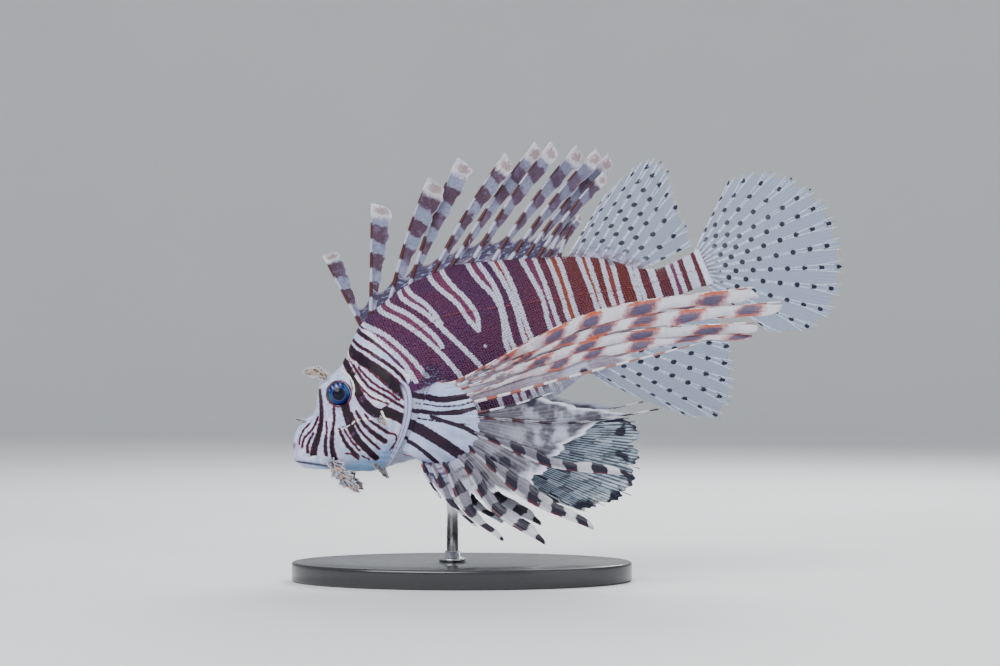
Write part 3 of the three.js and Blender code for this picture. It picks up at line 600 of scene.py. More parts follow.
def sheet(name, middle, half, values):
    """A closed thin sheet over a grid of middle points, with a half thickness for each point."""
    middle = np.asarray(middle, float)
    rows, columns = middle.shape[:2]
    down = np.gradient(middle, axis=0)
    over = np.gradient(middle, axis=1)
    normal = np.cross(down, over)
    normal /= np.maximum(np.linalg.norm(normal, axis=-1, keepdims=True), 1e-9)
    swell = normal * np.broadcast_to(half, (rows, columns))[..., None]
    points = np.concatenate([(middle + swell).reshape(-1, 3), (middle - swell).reshape(-1, 3)])
    front = grid_faces(rows, columns, False)
    count = rows * columns
    faces = front + [[count + v for v in reversed(face)] for face in front]
    index = np.arange(count).reshape(rows, columns)
    rim = np.concatenate([index[:-1, 0], index[-1, :-1], index[:0:-1, -1], index[0, :0:-1]])
    for a, b in zip(rim, np.roll(rim, -1)):
        faces.append([int(a), int(b), int(count + b), int(count + a)][::-1])
    for key, numbers in values.items():
        values[key] = np.tile(np.broadcast_to(numbers, (rows, columns)).reshape(-1), 2)
    return face_out(mesh_from(name, points, faces, values))


def joined(name, pieces):
    """Several meshes with the same attributes as one object."""
    names = sorted(a.name for a in pieces[0].data.attributes if a.data_type == "FLOAT")
    points, faces, values, first = [], [], {key: [] for key in names}, 0
    for piece in pieces:
        mesh = piece.data
        points.append(vertices(mesh))
        faces += [[first + v for v in face.vertices] for face in mesh.polygons]
        for key in names:
            values[key].append(read_numbers(mesh, key))
        first += len(mesh.vertices)
        bpy.data.objects.remove(piece)
    values = {key: np.concatenate(numbers) for key, numbers in values.items()}
    return mesh_from(name, np.concatenate(points), faces, values, place=as_given)


# Finishes: short calls for shader nodes
class Number:
    """A number that changes over a surface. Every sum or product with it is a node."""

    def __init__(self, paint, socket_shade):
        self.paint, self.socket_shade = paint, socket_shade

    def maths(self, operation, other=0.0):
        """The number put together with another."""
        node = self.paint.add("ShaderNodeMath", operation=operation)
        self.paint.feed(self, node.inputs[0])
        self.paint.feed(other, node.inputs[1])
        return Number(self.paint, node.outputs[0])

    def __add__(self, other):
        return self.maths("ADD", other)

    def __sub__(self, other):
        return self.maths("SUBTRACT", other)

    def __mul__(self, other):
        return self.maths("MULTIPLY", other)

    def __pow__(self, other):
        return self.maths("POWER", other)

    def sine(self):
        return self.maths("SINE")

    def waves(self, count):
        """A sine with that many waves over every 1 of the number."""
        return (self * (2 * math.pi * count)).sine()

    def step(self, low, high, to_high=1.0, to_low=0.0):
        """A smooth step between low and high, which may fall as well as rise."""
        node = self.paint.add("ShaderNodeMapRange", interpolation_type="SMOOTHSTEP")
        ends = [(low, to_low), (high, to_high)]
        for (start, value), word in zip(sorted(ends, key=lambda end: end[0]), ("Min", "Max")):
            node.inputs["From " + word].default_value = start
            node.inputs["To " + word].default_value = value
        self.paint.feed(self, node.inputs["Value"])
        return Number(self.paint, node.outputs["Result"])


class Colour:
    """A colour that changes over a surface, and that others are laid over."""

    def __init__(self, paint, socket_shade):
        self.paint, self.socket_shade = paint, socket_shade

    def over(self, share, colour, blend="MIX"):
        """Lays a colour over this one by a share."""
        self.socket_shade = self.paint.mix(share, self, colour, blend).socket_shade


class Paint(Tree):
    """A material under construction, round one Principled shader."""

    def __init__(self, name, specular, coat=0.0, coat_roughness=0.03, **constants):
        self.material = bpy.data.materials.new(name)
        self.material.use_nodes = True
        super().__init__(self.material.node_tree)
        self.shader = self.tree.nodes["Principled BSDF"]
        constants["Specular IOR Level"] = specular
        constants["Coat Weight"], constants["Coat Roughness"] = coat, coat_roughness
        for socket_shade, value in constants.items():
            self.shader.inputs[socket_shade].default_value = value
        self.place = self.add("ShaderNodeTexCoord").outputs["Object"]

    def value(self, name):
        """The surface's number of that name."""
        node = self.add("ShaderNodeAttribute", attribute_name=name)
        return Number(self, node.outputs["Fac"])

    def stretched(self, stretch):
        """The place on the object, or that place pitched with the fish and stretched along its axes."""
        if stretch is None:
            return self.place
        node = self.add("ShaderNodeMapping", vector_type="TEXTURE")
        node.inputs["Rotation"].default_value = (0.0, -PITCH, 0.0)
        node.inputs["Scale"].default_value = stretch
        self.link(self.place, node, "Vector")
        return node.outputs["Vector"]

    def noise(self, size, detail, stretch=None):
        """Cloudy noise round 0.5, with marks about size millimetres wide."""
        node = self.add("ShaderNodeTexNoise")
        node.inputs["Scale"].default_value = 1000.0 / size
        node.inputs["Detail"].default_value = detail
        node.inputs["Roughness"].default_value = 0.55
        self.link(self.stretched(stretch), node, "Vector")
        return Number(self, node.outputs["Fac"])

    def cells(self, size):
        """The distance to the nearest of scattered cells about size millimetres wide."""
        node = self.add("ShaderNodeTexVoronoi")
        node.inputs["Scale"].default_value = 1000.0 / size
        self.link(self.place, node, "Vector")
        return Number(self, node.outputs["Distance"])

    def feed(self, source, socket_shade):
        """Links a number or a colour to a socket, or sets a constant on it."""
        if isinstance(source, (Number, Colour)):
            self.tree.links.new(source.socket_shade, socket_shade)
        else:
            socket_shade.default_value = source

    def mix(self, share, a, b, blend="MIX"):
        """Colour b over colour a by a share."""
        node = self.add("ShaderNodeMix", data_type="RGBA", blend_type=blend)
        self.feed(share, node.inputs["Factor"])
        for colour, socket_shade in ((a, node.inputs[6]), (b, node.inputs[7])):
            self.feed((*colour, 1.0) if isinstance(colour, tuple) else colour, socket_shade)
        return Colour(self, node.outputs[2])

    def cover(self, source):
        """Alpha by a number."""
        self.feed(source, self.shader.inputs["Alpha"])

    def done(self, colour, roughness, *bumps):
        """The finished material. Roughness is a cloud with the roughness in its low and high parts, and
        each bump is a height and its depth in millimetres, the lowest bump first."""
        self.feed(colour, self.shader.inputs["Base Color"])
        if roughness:
            cloud, low, high = roughness
            self.feed(cloud.step(0.3, 0.7, high, low), self.shader.inputs["Roughness"])
        below = None
        for height, depth in bumps:
            node = self.add("ShaderNodeBump")
            node.inputs["Distance"].default_value = depth / 1000
            self.feed(height, node.inputs["Height"])
            if below:
                self.link(below, node, "Normal")
            below = node.outputs["Normal"]
        if below:
            self.link(below, self.shader, "Normal")
        return self.material


def dimmed(colour, share):
    """A colour made darker, or brighter by a share above 1."""
    return tuple(channel * share for channel in colour)


WHITE = (0.74, 0.77, 0.9)
PALE_BLUE = (0.36, 0.5, 0.74)
LAVENDER = (0.47, 0.47, 0.74)
MAROON = (0.085, 0.011, 0.055)
PLUM = (0.05, 0.012, 0.078)
NEAR_BLACK = (0.012, 0.004, 0.012)
LOBE_DARK = (0.018, 0.005, 0.02)
PINK = (0.19, 0.035, 0.105)
RUST = (0.36, 0.065, 0.014)
CREAM = (0.82, 0.78, 0.74)


def marked_skin(paint, scaly):
    """The colour of skin and scales from the markings, with painted shade in the axil hollow, the mouth
    slit and round the eye socket.
    """
    grain = paint.noise(1.3, 3)
    fine = paint.noise(0.5, 2)
    ragged = (grain - 0.5) * 1.4
    band = paint.mix(paint.noise(22, 5).step(0.25, 0.7), PLUM, MAROON)
    station = paint.value("station")
    band.over(station.step(120, 185), paint.mix(grain, (0.22, 0.04, 0.018), (0.1, 0.012, 0.02)))
    band.over(station.step(192, 206), (0.11, 0.022, 0.03))
    band.over(fine.step(0.55, 0.75, 0.35), PINK)
    between = paint.value("between")
    band.over(between.step(0.1, 0.35, 0.8), paint.mix(between.step(0.45, 0.95), PINK, RUST))
    pure = paint.mix(grain.step(0.3, 0.75), LAVENDER if scaly else PALE_BLUE, WHITE)
    pure.over(0.55, WHITE)
    trunk = paint.mix((paint.value("white") + ragged).step(0.25, -0.2), band, pure)
    trunk.over((paint.value("lateral") + ragged).step(0.2, -0.2, 0.6), (0.33, 0.06, 0.05))
    below = paint.value("belly").step(0.25, 0.95, 0.75)
    trunk.over(below, paint.mix(grain, PALE_BLUE, (0.62, 0.6, 0.76)))
    trunk.over((paint.value("lobe_line") + ragged).step(0.3, -0.2), LOBE_DARK)
    # Painted shade in the hollow above the pectoral fin's root, and the small dark spots along the back and
    # on the gill cover's edge.
    night = (paint.value("night") + ragged * 0.4).step(0.15, 0.85)
    trunk.over(night * 0.62, (0.006, 0.007, 0.03))
    trunk.over((paint.value("curls") + ragged * 0.5).step(0.2, 0.6, 0.3), (0.24, 0.34, 0.6))
    trunk.over(paint.value("pearl").step(0.2, -0.3), WHITE)
    head = paint.mix(paint.noise(9, 4).step(0.38, 0.62), PALE_BLUE, LAVENDER)
    head.over(paint.noise(2.6, 5).step(0.45, 0.62, 0.6), WHITE)
    head.over(fine.step(0.6, 0.75, 0.35), (0.42, 0.26, 0.5))
    head.over(paint.value("throat"), paint.mix(grain, (0.16, 0.34, 0.6), (0.3, 0.46, 0.7)))
    head.over(paint.value("snout_blob"), paint.mix(fine, (0.34, 0.1, 0.03), (0.1, 0.03, 0.02)))
    # dark holds the head's dark lines and the ring of painted shade round the eye socket.
    dark = paint.value("dark") + ragged * 0.55
    rim = paint.mix(grain, (0.05, 0.006, 0.036), (0.2, 0.03, 0.04))
    line = paint.mix(dark.step(-0.55, -0.1), NEAR_BLACK, rim)
    line.over(paint.noise(3.5, 4).step(0.6, 0.72, 0.4), (0.2, 0.07, 0.22))
    head.over(dark.step(0.28, -0.12), line)
    head.over((paint.value("cream") + ragged * 0.6).step(0.2, -0.15), CREAM)
    fold = paint.mix(grain, (0.36, 0.4, 0.7), (0.62, 0.64, 0.86))
    fold.over(paint.value("fold_line"), (0.09, 0.012, 0.05))
    head.over(paint.value("fold"), fold)
    # Painted shade in the mouth slit.
    head.over(paint.value("slit"), (0.008, 0.006, 0.02))
    return paint.mix(paint.value("behind_gill").step(-0.4, 0.4), head, trunk), grain, fine


def skin_finish():
    """Wet skin: head, gill covers, belly and the ground under the scales."""
    paint = Paint("marked_skin", 0.22, 0.07, 0.1)
    shade, grain, fine = marked_skin(paint, False)
    return paint.done(shade, (grain, 0.34, 0.5), (paint.cells(0.9), 0.05), (fine, 0.06))


def scale_finish():
    """Small scales: the skin's colours, paler and pinker along the free edge, partly the scales' own pale
    rims and partly painted highlight, with painted shade at the root where the scale in front overlaps it.
    """
    paint = Paint("fine_scales", 0.28, 0.1, 0.14)
    shade, grain, fine = marked_skin(paint, True)
    # Painted highlight: a lit copy of the colour laid along each scale's free edge, over the scales' own
    # paler rim.
    edge = paint.value("free_edge").step(0.62, 0.95)
    lit = paint.mix(0.62, shade, (0.42, 0.22, 0.4), "SCREEN")
    shade.over(edge * 0.75, lit)
    # Painted shade at each scale's root, under the free edge of the scale in front; none on the white
    # stripes and little on the belly.
    root = paint.value("free_edge").step(0.42, 0.1)
    root = root * paint.value("white").step(-0.3, 0.3, 0.5)
    root = root * paint.value("belly").step(0.6, 0.1, 1.0, 0.1)
    shade.over(root, (0.05, 0.012, 0.04), "MULTIPLY")
    return paint.done(shade, (grain, 0.3, 0.46), (fine, 0.03))


# The skin of head, trunk and tail: one closed surface
SKIN_ROUND = 340
HEAD_END = 70.0
MAXILLA = [(22.6, -0.5), (20.4, -5), (18.6, -10), (16.4, -16.4)]
GILL_RIDGE = [(45.5, 1), (49.6, -4), (50.8, -9.5), (48.5, -15.5), (43, -20)]


def skin_relief(s, y, z):
    """How far the skin stands off the plain body, in millimetres."""
    behind = gill_offset(s, z)
    low = 1 - smooth(8, 26, z)
    flare = 0.8 * smooth(40, 62, s) * (1 - smooth(-0.2, 0.7, behind))
    fold = low * (0.55 * bump(behind + 1.5, 1.3) - 0.5 * bump(behind - 0.7, 0.6)) * smooth(34, 44, s)
    rise = flare + fold
    from_eye = np.hypot(s - EYE["station"], z - EYE["level"])
    side = smooth(6, 10, np.abs(y))
    rise = rise - 5.5 * (1 - smooth(4.7, 6.1, from_eye)) * side + 0.8 * bump(from_eye - 6.9, 0.9) * side
    mouth, _ = line_distance(s, z, [MOUTH_FRONT, MOUTH_CORNER])
    ahead = 1 - smooth(13, 18, s)
    rise += ahead * (0.75 * bump(mouth - 1.7, 1.0) - 1.5 * bump(mouth, 0.42))
    jaw, _ = line_distance(s, z, MAXILLA)
    rise = rise - 0.45 * bump(jaw, 0.45) * smooth(4, 8, np.abs(y)) + 0.3 * bump(jaw - 1.2, 0.7)
    for at, level, size in ((13.5, 9.0, 0.9), (18.5, 11.0, 0.75)):
        pit = np.hypot(s - at, z - level)
        rise = rise - 1.1 * bump(pit, size) * smooth(2, 4, np.abs(y)) + 0.35 * bump(pit - 1.5, 0.5)
    ridge, share = line_distance(s, z, [(22.5, 1), (33, 0.2), (44, -3)])
    knots = 0.6 + 0.4 * np.cos(share * 2 * np.pi * 6)
    rise += 0.85 * knots * bump(ridge, 0.75)
    rise += 0.45 * bump(line_distance(s, z, rounded(GILL_RIDGE))[0], 0.9)
    brow, share = line_distance(s, z, [(24, 23.5), (30, 26.6), (38, 27.5), (43.4, 24)])
    rise += (0.6 + 0.3 * np.cos(share * 2 * np.pi * 5)) * bump(brow, 0.9) * side
    crest, _ = line_distance(s, z, [(42, 29.5), (46, 33), (51, 37.4)])
    rise += 0.7 * bump(crest, 1.3) * bump(np.abs(y) - 4.5, 2.6)
    folds = np.sin((z + 0.55 * s) * 1.9) * bump(z + 25, 5) * smooth(26, 34, s) * (1 - smooth(62, 68, s))
    rise += 0.22 * folds
    rise -= 0.7 * bump(np.hypot((s - 24) / 1.3, z - 8), 4.2)
    rise += 0.16 * bump(line_distance(s, z, LATERAL_LINE)[0], 0.5)
    lumps = np.sin(s * 0.37 + 1.2) * np.sin(z * 0.41 + y * 0.3) + 0.5 * np.sin(s * 0.9 - z * 0.7)
    return rise + 0.14 * lumps * (1 - smooth(80, 120, s))


def skin_points(station, angle, grow=0.0):
    """Points of the dressed skin."""
    plain = body_point(station, angle)
    rise = skin_relief(plain[..., 0], plain[..., 1], plain[..., 2])
    slim = smooth(0, 3, station + 1.5)
    points = body_point(station, angle, rise * slim + grow)
    points[..., 1] *= 1 - 0.72 * smooth(222, 233, station)
    return points


def skin_values(points):
    """The numbers that the skin's finish reads at places in the fish frame."""
    values = skin_marks(points)
    values["station"] = points[:, 0]
    values["throat"] = 1 - smooth(-23, -13, points[:, 2])
    return values


def make_skin():
    """The skin as a grid of rings, closed at the lips and at the tail root."""
    stations = np.concatenate([np.arange(-2, HEAD_END, 0.5), np.linspace(HEAD_END, 233, 130)])
    angles = np.linspace(0, 2 * np.pi, SKIN_ROUND, endpoint=False)
    station, angle = np.meshgrid(stations, angles, indexing="ij")
    points = skin_points(station.ravel(), angle.ravel())
    faces = grid_faces(len(stations), SKIN_ROUND, True)
    count = len(points)
    ends = np.stack([points[:SKIN_ROUND].mean(0), points[count - SKIN_ROUND:].mean(0)])
    points = np.concatenate([points, ends])
    made = mesh_from("fish_skin", points, capped(faces, count, SKIN_ROUND), skin_values(points))
    return face_out(made)


# Scales of the trunk, with their spacing round the body and along it
SCALE_WIDE = 1.2
SCALE_LONG = 1.28
SCALE_LIFT = 0.03
SCALE_SPLIT = 112


def scale_blank():
    """One scale: a thin lens with a rounded free edge towards +X, in metres."""
    length, width, thick = 0.0019, 0.00152, 0.00003
    outline = [
        (-0.35, 0.34), (0.06, 0.5), (0.36, 0.45), (0.54, 0.27), (0.61, 0.0), (0.54, -0.27), (0.36, -0.45),
        (0.06, -0.5), (-0.35, -0.34),
    ]
    corners = len(outline)
    points = [(x * length, y * width, 0.0) for x, y in outline]
    points += [(0.12 * length, 0, thick * 1.6), (0.12 * length, 0, -thick)]
    faces = []
    for j in range(corners):
        after = (j + 1) % corners
        faces += [[after, j, corners], [j, after, corners + 1]]
    edge = [0.0, 0.45, 0.85, 1.0, 1.0, 1.0, 0.85, 0.45, 0.0, 0.3, 0.3]
    along = [x for x, _ in outline] + [0.12, 0.12]
    over = [y for _, y in outline] + [0.0, 0.0]
    values = {"free_edge": edge, "patch_x": along, "patch_y": over}
    return mesh_from("scale_blank", points, faces, values, place=as_given)


def scale_tree(blank, material):
    """A scale on every point, turned and sized by the point's own numbers."""
    build, start, end = geometry_tree("trunk_scales", ["Size"])
    rotation = build.add("FunctionNodeEulerToRotation")
    build.link(build.named("turn", "FLOAT_VECTOR"), rotation, 0)
    info = build.add("GeometryNodeObjectInfo")
    info.inputs["Object"].default_value = blank
    place = build.add("GeometryNodeInstanceOnPoints")
    build.link(start.outputs["Geometry"], place, "Points")
    build.link(info.outputs["Geometry"], place, "Instance")
    build.link(rotation.outputs[0], place, "Rotation")
    build.link(build.product(build.named("own_size"), start.outputs["Size"]), place, "Scale")
    return build.dressed(place.outputs["Instances"], material, end)


def scale_places():
    """Station and angle of every scale, in offset rows, on the trunk behind the gill cover."""
    stations, angles = [], []
    station, row = 42.0, 0
    turn = np.linspace(0, 2 * np.pi, 200)
    while station < 229:
        ring = body_point(station, turn)
        lengths = np.linalg.norm(np.diff(ring, axis=0), axis=1)
        around = np.concatenate([[0], np.cumsum(lengths)])
        count = max(12, int(around[-1] / SCALE_WIDE))
        at = (np.arange(count) + 0.5 * (row % 2)) / count * around[-1]
        angles.append(np.interp(at, around, turn))
        stations.append(np.full(count, station))
        station += SCALE_LONG
        row += 1
    station, angle = np.concatenate(stations), np.concatenate(angles)
    plain = body_point(station, angle)
    keep = (gill_offset(station, plain[:, 2]) > 2.2) & ~((station < 57) & (plain[:, 2] > 38))
    keep &= ~((axil_distance(station, plain[:, 2]) < 6) & (plain[:, 2] < 2))
    keep &= ~((station < 72) & (plain[:, 2] < 5))
    return station[keep], angle[keep]


def make_scales(material):
    """All scales as two meshes, the front and the rear of the trunk."""
    random = np.random.default_rng(7)
    station, angle = scale_places()
    station = station + random.uniform(-0.12, 0.12, len(station))
    angle = angle + random.uniform(-0.005, 0.005, len(angle))
    here = to_world(skin_points(station, angle, SCALE_LIFT))
    back = to_world(skin_points(station + 0.6, angle, SCALE_LIFT)) - here
    over = to_world(skin_points(station, angle + 0.02, SCALE_LIFT)) - here
    back /= np.linalg.norm(back, axis=1, keepdims=True)
    normal = np.cross(over, back)
    outward = here - to_world(np.stack([station, 0 * station, body_level(station)], 1))
    normal *= np.sign((normal * outward).sum(1))[:, None]
    normal /= np.linalg.norm(normal, axis=1, keepdims=True)
    tilt = 0.055 + 0.035 * random.random((len(station), 1))
    x = back * np.cos(tilt) + normal * np.sin(tilt)
    z = normal * np.cos(tilt) - back * np.sin(tilt)
    y = np.cross(z, x)
    pitch = -np.arcsin(np.clip(x[:, 2], -1, 1))
    turn = np.stack([np.arctan2(y[:, 2], z[:, 2]), pitch, np.arctan2(x[:, 1], x[:, 0])], 1)
    size = (1 - 0.32 * smooth(150, 225, station)) * random.uniform(0.93, 1.07, len(station))
    blank = scale_blank()
    tree = scale_tree(blank, material)
    pieces = []
    for name, part in (
        ("trunk_scales_front", station < SCALE_SPLIT),
        ("trunk_scales_rear", station >= SCALE_SPLIT),
    ):
        values = {"own_size": size[part], "root_station": station[part], "root_angle": angle[part]}
        places = mesh_from(name + "_places", here[part], [], values, place=as_given)
        layer = places.data.attributes.new("turn", "FLOAT_VECTOR", "POINT")
        layer.data.foreach_set("vector", turn[part].astype(np.float32).ravel())
        made = baked(places, tree, {"Size": 1.0}, name)
        finish_scales(made, here[part])
        pieces.append(made)
    bpy.data.objects.remove(blank)
    return pieces


def finish_scales(made, roots):
    """Gives scales the skin's markings, mostly from their own places, and a bake map of small patches."""
    mesh = made.data
    own = to_fish(vertices(mesh))
    count = len(own) // len(roots)
    centre = np.repeat(to_fish(roots), count, axis=0)
    put_attributes(mesh, skin_values(0.85 * own + 0.15 * centre))
    u = (read_numbers(mesh, "root_station") - 40) / 200 + 0.003 * read_numbers(mesh, "patch_x")
    v = read_numbers(mesh, "root_angle") / (2 * np.pi) + 0.003 * read_numbers(mesh, "patch_y")
    corner = np.empty(len(mesh.loops), int)
    mesh.loops.foreach_get("vertex_index", corner)
    layer = mesh.uv_layers.new(name="OFBake")
    layer.data.foreach_set("uv", np.stack([u, v], 1)[corner].astype(np.float32).ravel())
    mesh.shade_smooth()


# First dorsal fin: spines, each with a banded flag of skin behind it
SPINE_ROOTS = [57.4, 63, 75, 87, 99, 109.5, 120, 130.5, 139, 146, 152.5, 158.5, 164]
SPINE_LEANS = [94.7, 66, 49, 46, 35.5, 32.5, 33, 30.5, 28.5, 28, 29, 36, 42]
SPINE_LENGTHS = [41.2, 58.6, 66.5, 71.8, 74.5, 79.5, 76, 75.5, 73.5, 70.5, 57, 26, 24]
SPINE_FLAG = [8.2, 10.4, 11.5, 10.2, 8.4, 8.0, 8.0, 7.6, 7.2, 6.8, 5.4, 4.2, 3.6]
SPINE_SPLAY = 0.045
FLAG_SHAPE = ([0, 0.12, 0.3, 0.5, 0.7, 0.88, 0.96, 1.0], [0.42, 0.3, 0.46, 0.66, 0.86, 0.98, 1.0, 1.0])
SPINE_SUNK = 2.5
FLAG_BAND = 14.5


def spine_frame(k):
    """Root, direction and rearward direction of a dorsal spine."""
    lean = math.radians(SPINE_LEANS[k])
    root = np.array([SPINE_ROOTS[k], 0.0, float(body_top(SPINE_ROOTS[k])) - SPINE_SUNK])
    along = np.array([math.cos(lean), 0, math.sin(lean)])
    return root, along, np.array([math.sin(lean), 0, -math.cos(lean)])


def spine_point(k, t, back=0.0, out=0.0):
    """Places on a spine's flag, by the share of its length and the distance behind the shaft."""
    root, along, behind = spine_frame(k)
    length = SPINE_LENGTHS[k] + SPINE_SUNK
    t, back, out = np.broadcast_arrays(np.asarray(t, float), back, out)
    side = (1 if k % 2 else -1) * SPINE_SPLAY * length * t * t
    bend = -1.6 * np.sin(np.pi * np.clip(t, 0, 1)) * (k > 1)
    points = root + along * (t * length)[..., None] + behind * (back + bend)[..., None]
    points[..., 1] += side + out
    return points


def make_dorsal_flags(material):
    """The flags, one thin sheet a spine, wavy along the free edge and curled over at the tip."""
    pieces = []
    for k in range(len(SPINE_ROOTS)):
        u, v = shares(74, 15)
        t = 0.02 + 0.98 * (1 - (1 - u) ** 1.7)
        wide = np.interp(t, *FLAG_SHAPE) * SPINE_FLAG[k]
        wave = 1 + 0.05 * np.sin(t * 34 + k * 2.1) + 0.03 * np.sin(t * 71 + k)
        end = np.sqrt(np.clip(1 - (np.clip(t - 0.93, 0, 1) / 0.0705) ** 2, 0, 1))
        back = wide * wave * v * (0.06 + 0.94 * end) - 0.3
        ripple = 0.32 * np.sin(t * 21 + k * 1.7) * v**1.5 + 0.16 * np.sin(t * 47 + v * 6 + k)
        curl = 1.8 * smooth(0.84, 1.0, t) * v**2 * (1 if k % 2 else -1)
        top = t * (0.99 - 0.008 * v**2)
        points = spine_point(k, top, back, ripple * smooth(0.05, 0.3, t) + curl)
        half = 0.13 + 0.22 * (1 - smooth(0, 0.12, v)) + 0.22 * (1 - smooth(0, 0.2, t)) * (1 - v)
        values = {"along": t, "across": v, "length": SPINE_LENGTHS[k], "own": float(k)}
        pieces.append(sheet(f"flag_{k}", points, half, values))
    settle(joined("dorsal_flags", pieces), material)


def make_dorsal_spines(material):
    """The hard spines along the front edge of the flags."""
    lines = []
    for k in range(len(SPINE_ROOTS)):
        t = np.linspace(0.0, 1.0, 40)
        thick = 1.15 * (1 - 0.74 * t) * (1 - smooth(0.965, 1.0, t)) + 0.05
        numbers = {"along": t, "across": 0.0, "length": SPINE_LENGTHS[k], "own": float(k)}
        lines.append({"points": spine_point(k, t, 0.1), "thick": thick, **numbers})
    make_rods("dorsal_spines", lines, material, 10, ["dorsal_fin_spiny"])


def make_dorsal_web(material):
    """The dusky web that joins the spines low along the back."""
    pieces = []
    for k in range(len(SPINE_ROOTS) - 1):
        u, v = shares(22, 22)
        first, second = SPINE_LENGTHS[k], SPINE_LENGTHS[k + 1]
        low = 0.5 + 0.5 * (2 * v - 1) ** 2
        tall = 1 + 0.35 * smooth(2, 5, k)
        reach = (5.5 + 11 * low) * tall * min(1.0, min(first, second) / 50)
        near = spine_point(k, u * reach / first, 0.6)
        far = spine_point(k + 1, u * reach / second * 0.9, 0.0)
        points = near * (1 - v[..., None]) + far * v[..., None]
        ground = body_top(points[..., 0]) - 1.2
        points[..., 2] = np.maximum(points[..., 2], ground)
        points[..., 1] += 0.5 * np.sin(v * np.pi) * np.sin(u * 3 + k)
        half = 0.16 + 0.5 * (1 - smooth(0, 0.5, u))
        pieces.append(sheet(f"web_{k}", points, half, {"along": u}))
    settle(joined("dorsal_web", pieces), material)


def banded(paint, jag):
    """Light and dark bands across a dorsal flag: 1 in the dark ones."""
    height = paint.value("along") * paint.value("length") + paint.value("own") * 2.7
    height = height + paint.value("across") * 1.6 + jag
    return height.waves(1 / FLAG_BAND).step(-0.42, 0.12)


def flag_finish():
    """Thin skin of the dorsal flags: smoky lavender with plum and brown bands and a white tip."""
    paint = Paint("dorsal_flag", 0.4, 0.15, 0.2)
    grain, fine = paint.noise(1.6, 4), paint.noise(0.55, 3)
    dark = banded(paint, (paint.noise(3.2, 3) - 0.5) * 7.0)
    along, across = paint.value("along"), paint.value("across")
    light = paint.mix(grain, (0.08, 0.11, 0.22), (0.3, 0.32, 0.48))
    streaks = paint.noise(0.8, 2, stretch=(0.35, 1.0, 0.35))
    light.over(streaks.step(0.55, 0.7, 0.42), WHITE)
    brown = paint.mix(grain, (0.02, 0.008, 0.028), (0.085, 0.03, 0.06))
    brown.over(fine.step(0.5, 0.7, 0.55), (0.14, 0.085, 0.17))
    shade = paint.mix(dark, light, brown)
    mottle = paint.noise(4.5, 4).step(0.5, 0.66, 0.6)
    shade.over(mottle, paint.mix(fine, (0.06, 0.03, 0.09), (0.2, 0.16, 0.28)))
    rear = paint.value("own").step(3.5, 9.0, 0.45)
    shade.over(rear, paint.mix(fine, (0.03, 0.012, 0.03), (0.14, 0.11, 0.22)))
    shade.over(across.step(0.93, 1.0, 0.6), (0.5, 0.44, 0.52))
    tip = (along + grain * 0.05).step(0.88, 0.93)
    shade.over(tip, paint.mix(grain, (0.38, 0.36, 0.46), (0.74, 0.72, 0.8)))
    blob = (along + (grain - 0.5) * 0.12 - 0.94) * 24.0
    aside = (across + fine * 0.3 - 0.72) * 2.2
    away = blob * blob + aside * aside
    shade.over(away.step(1.1, 0.1, 0.7), paint.mix(fine, (0.06, 0.025, 0.02), (0.34, 0.18, 0.12)))
    low = along.step(0.16, 0.05, 0.8)
    shade.over(low, paint.mix(dark, (0.66, 0.68, 0.84), (0.12, 0.03, 0.08)))
    paint.cover((dark + (tip + low)).step(0.0, 0.7, 0.96, 0.74))
    return paint.done(shade, (grain, 0.32, 0.5), (fine, 0.05), (streaks, 0.12))


def spine_finish():
    """Hard spines: ivory with maroon and brown bands."""
    paint = Paint("dorsal_spine", 0.4, 0.2, 0.15)
    grain = paint.noise(1.1, 3)
    dark = banded(paint, (grain - 0.5) * 3.0)
    light = paint.mix(grain, (0.3, 0.31, 0.46), (0.58, 0.56, 0.68))
    brown = paint.mix(grain, (0.03, 0.006, 0.012), (0.1, 0.018, 0.02))
    shade = paint.mix(dark, light, brown)
    shade.over(paint.value("along").step(0.86, 0.92), (0.8, 0.76, 0.74))
    return paint.done(shade, (grain, 0.28, 0.42), (paint.noise(0.5, 2, stretch=(4.0, 1.0, 1.0)), 0.05))


def web_finish():
    """Dusky web between the dorsal spines, streaked pale blue."""
    paint = Paint("dorsal_web", 0.5, 0.3, 0.2)
    grain = paint.noise(1.4, 3)
    streaks = paint.noise(1.1, 3, stretch=(3.0, 1.0, 1.0))
    shade = paint.mix(grain, (0.012, 0.012, 0.05), (0.06, 0.03, 0.1))
    shade.over(streaks.step(0.54, 0.66, 0.75), (0.32, 0.4, 0.66))
    shade.over(paint.value("along").step(0.9, 1.0, 0.7), (0.5, 0.42, 0.52))
    paint.cover(paint.value("along").step(0.2, 0.95, 0.78, 0.97))
    return paint.done(shade, (grain, 0.32, 0.5), (streaks, 0.1))


# Soft fins of the middle plane: branched rays in a clear spotted membrane
SOFT_DORSAL = (
    [[168, 32.4], [171.5, 30.8], [175, 29], [179.5, 27], [183.5, 24.6], [187.5, 22], [191, 19.5],
     [194.5, 16.5], [197.5, 14], [200.5, 11.6]],
    [35, 37, 35.5, 35.2, 34.5, 33, 30.5, 26, 15, 3],
    [41, 46, 59, 62.5, 61.5, 57.5, 49.5, 42, 36, 31],
)
CAUDAL = (
    [[228, 7.4], [229, 6.6], [229.5, 5.6], [230, 4.4], [230, 3.2], [230, 2], [230, 0.7], [230, -0.7],
     [230, -2], [230, -3.4], [229.5, -4.8], [229, -6], [228, -7]],
    [40, 33.5, 25.5, 17.5, 9.5, 2.5, -5, -13, -21.5, -30, -39, -48, -60],
    [45, 52.5, 60, 65.5, 70, 73, 74, 73.5, 73, 72, 70, 62, 44],
)
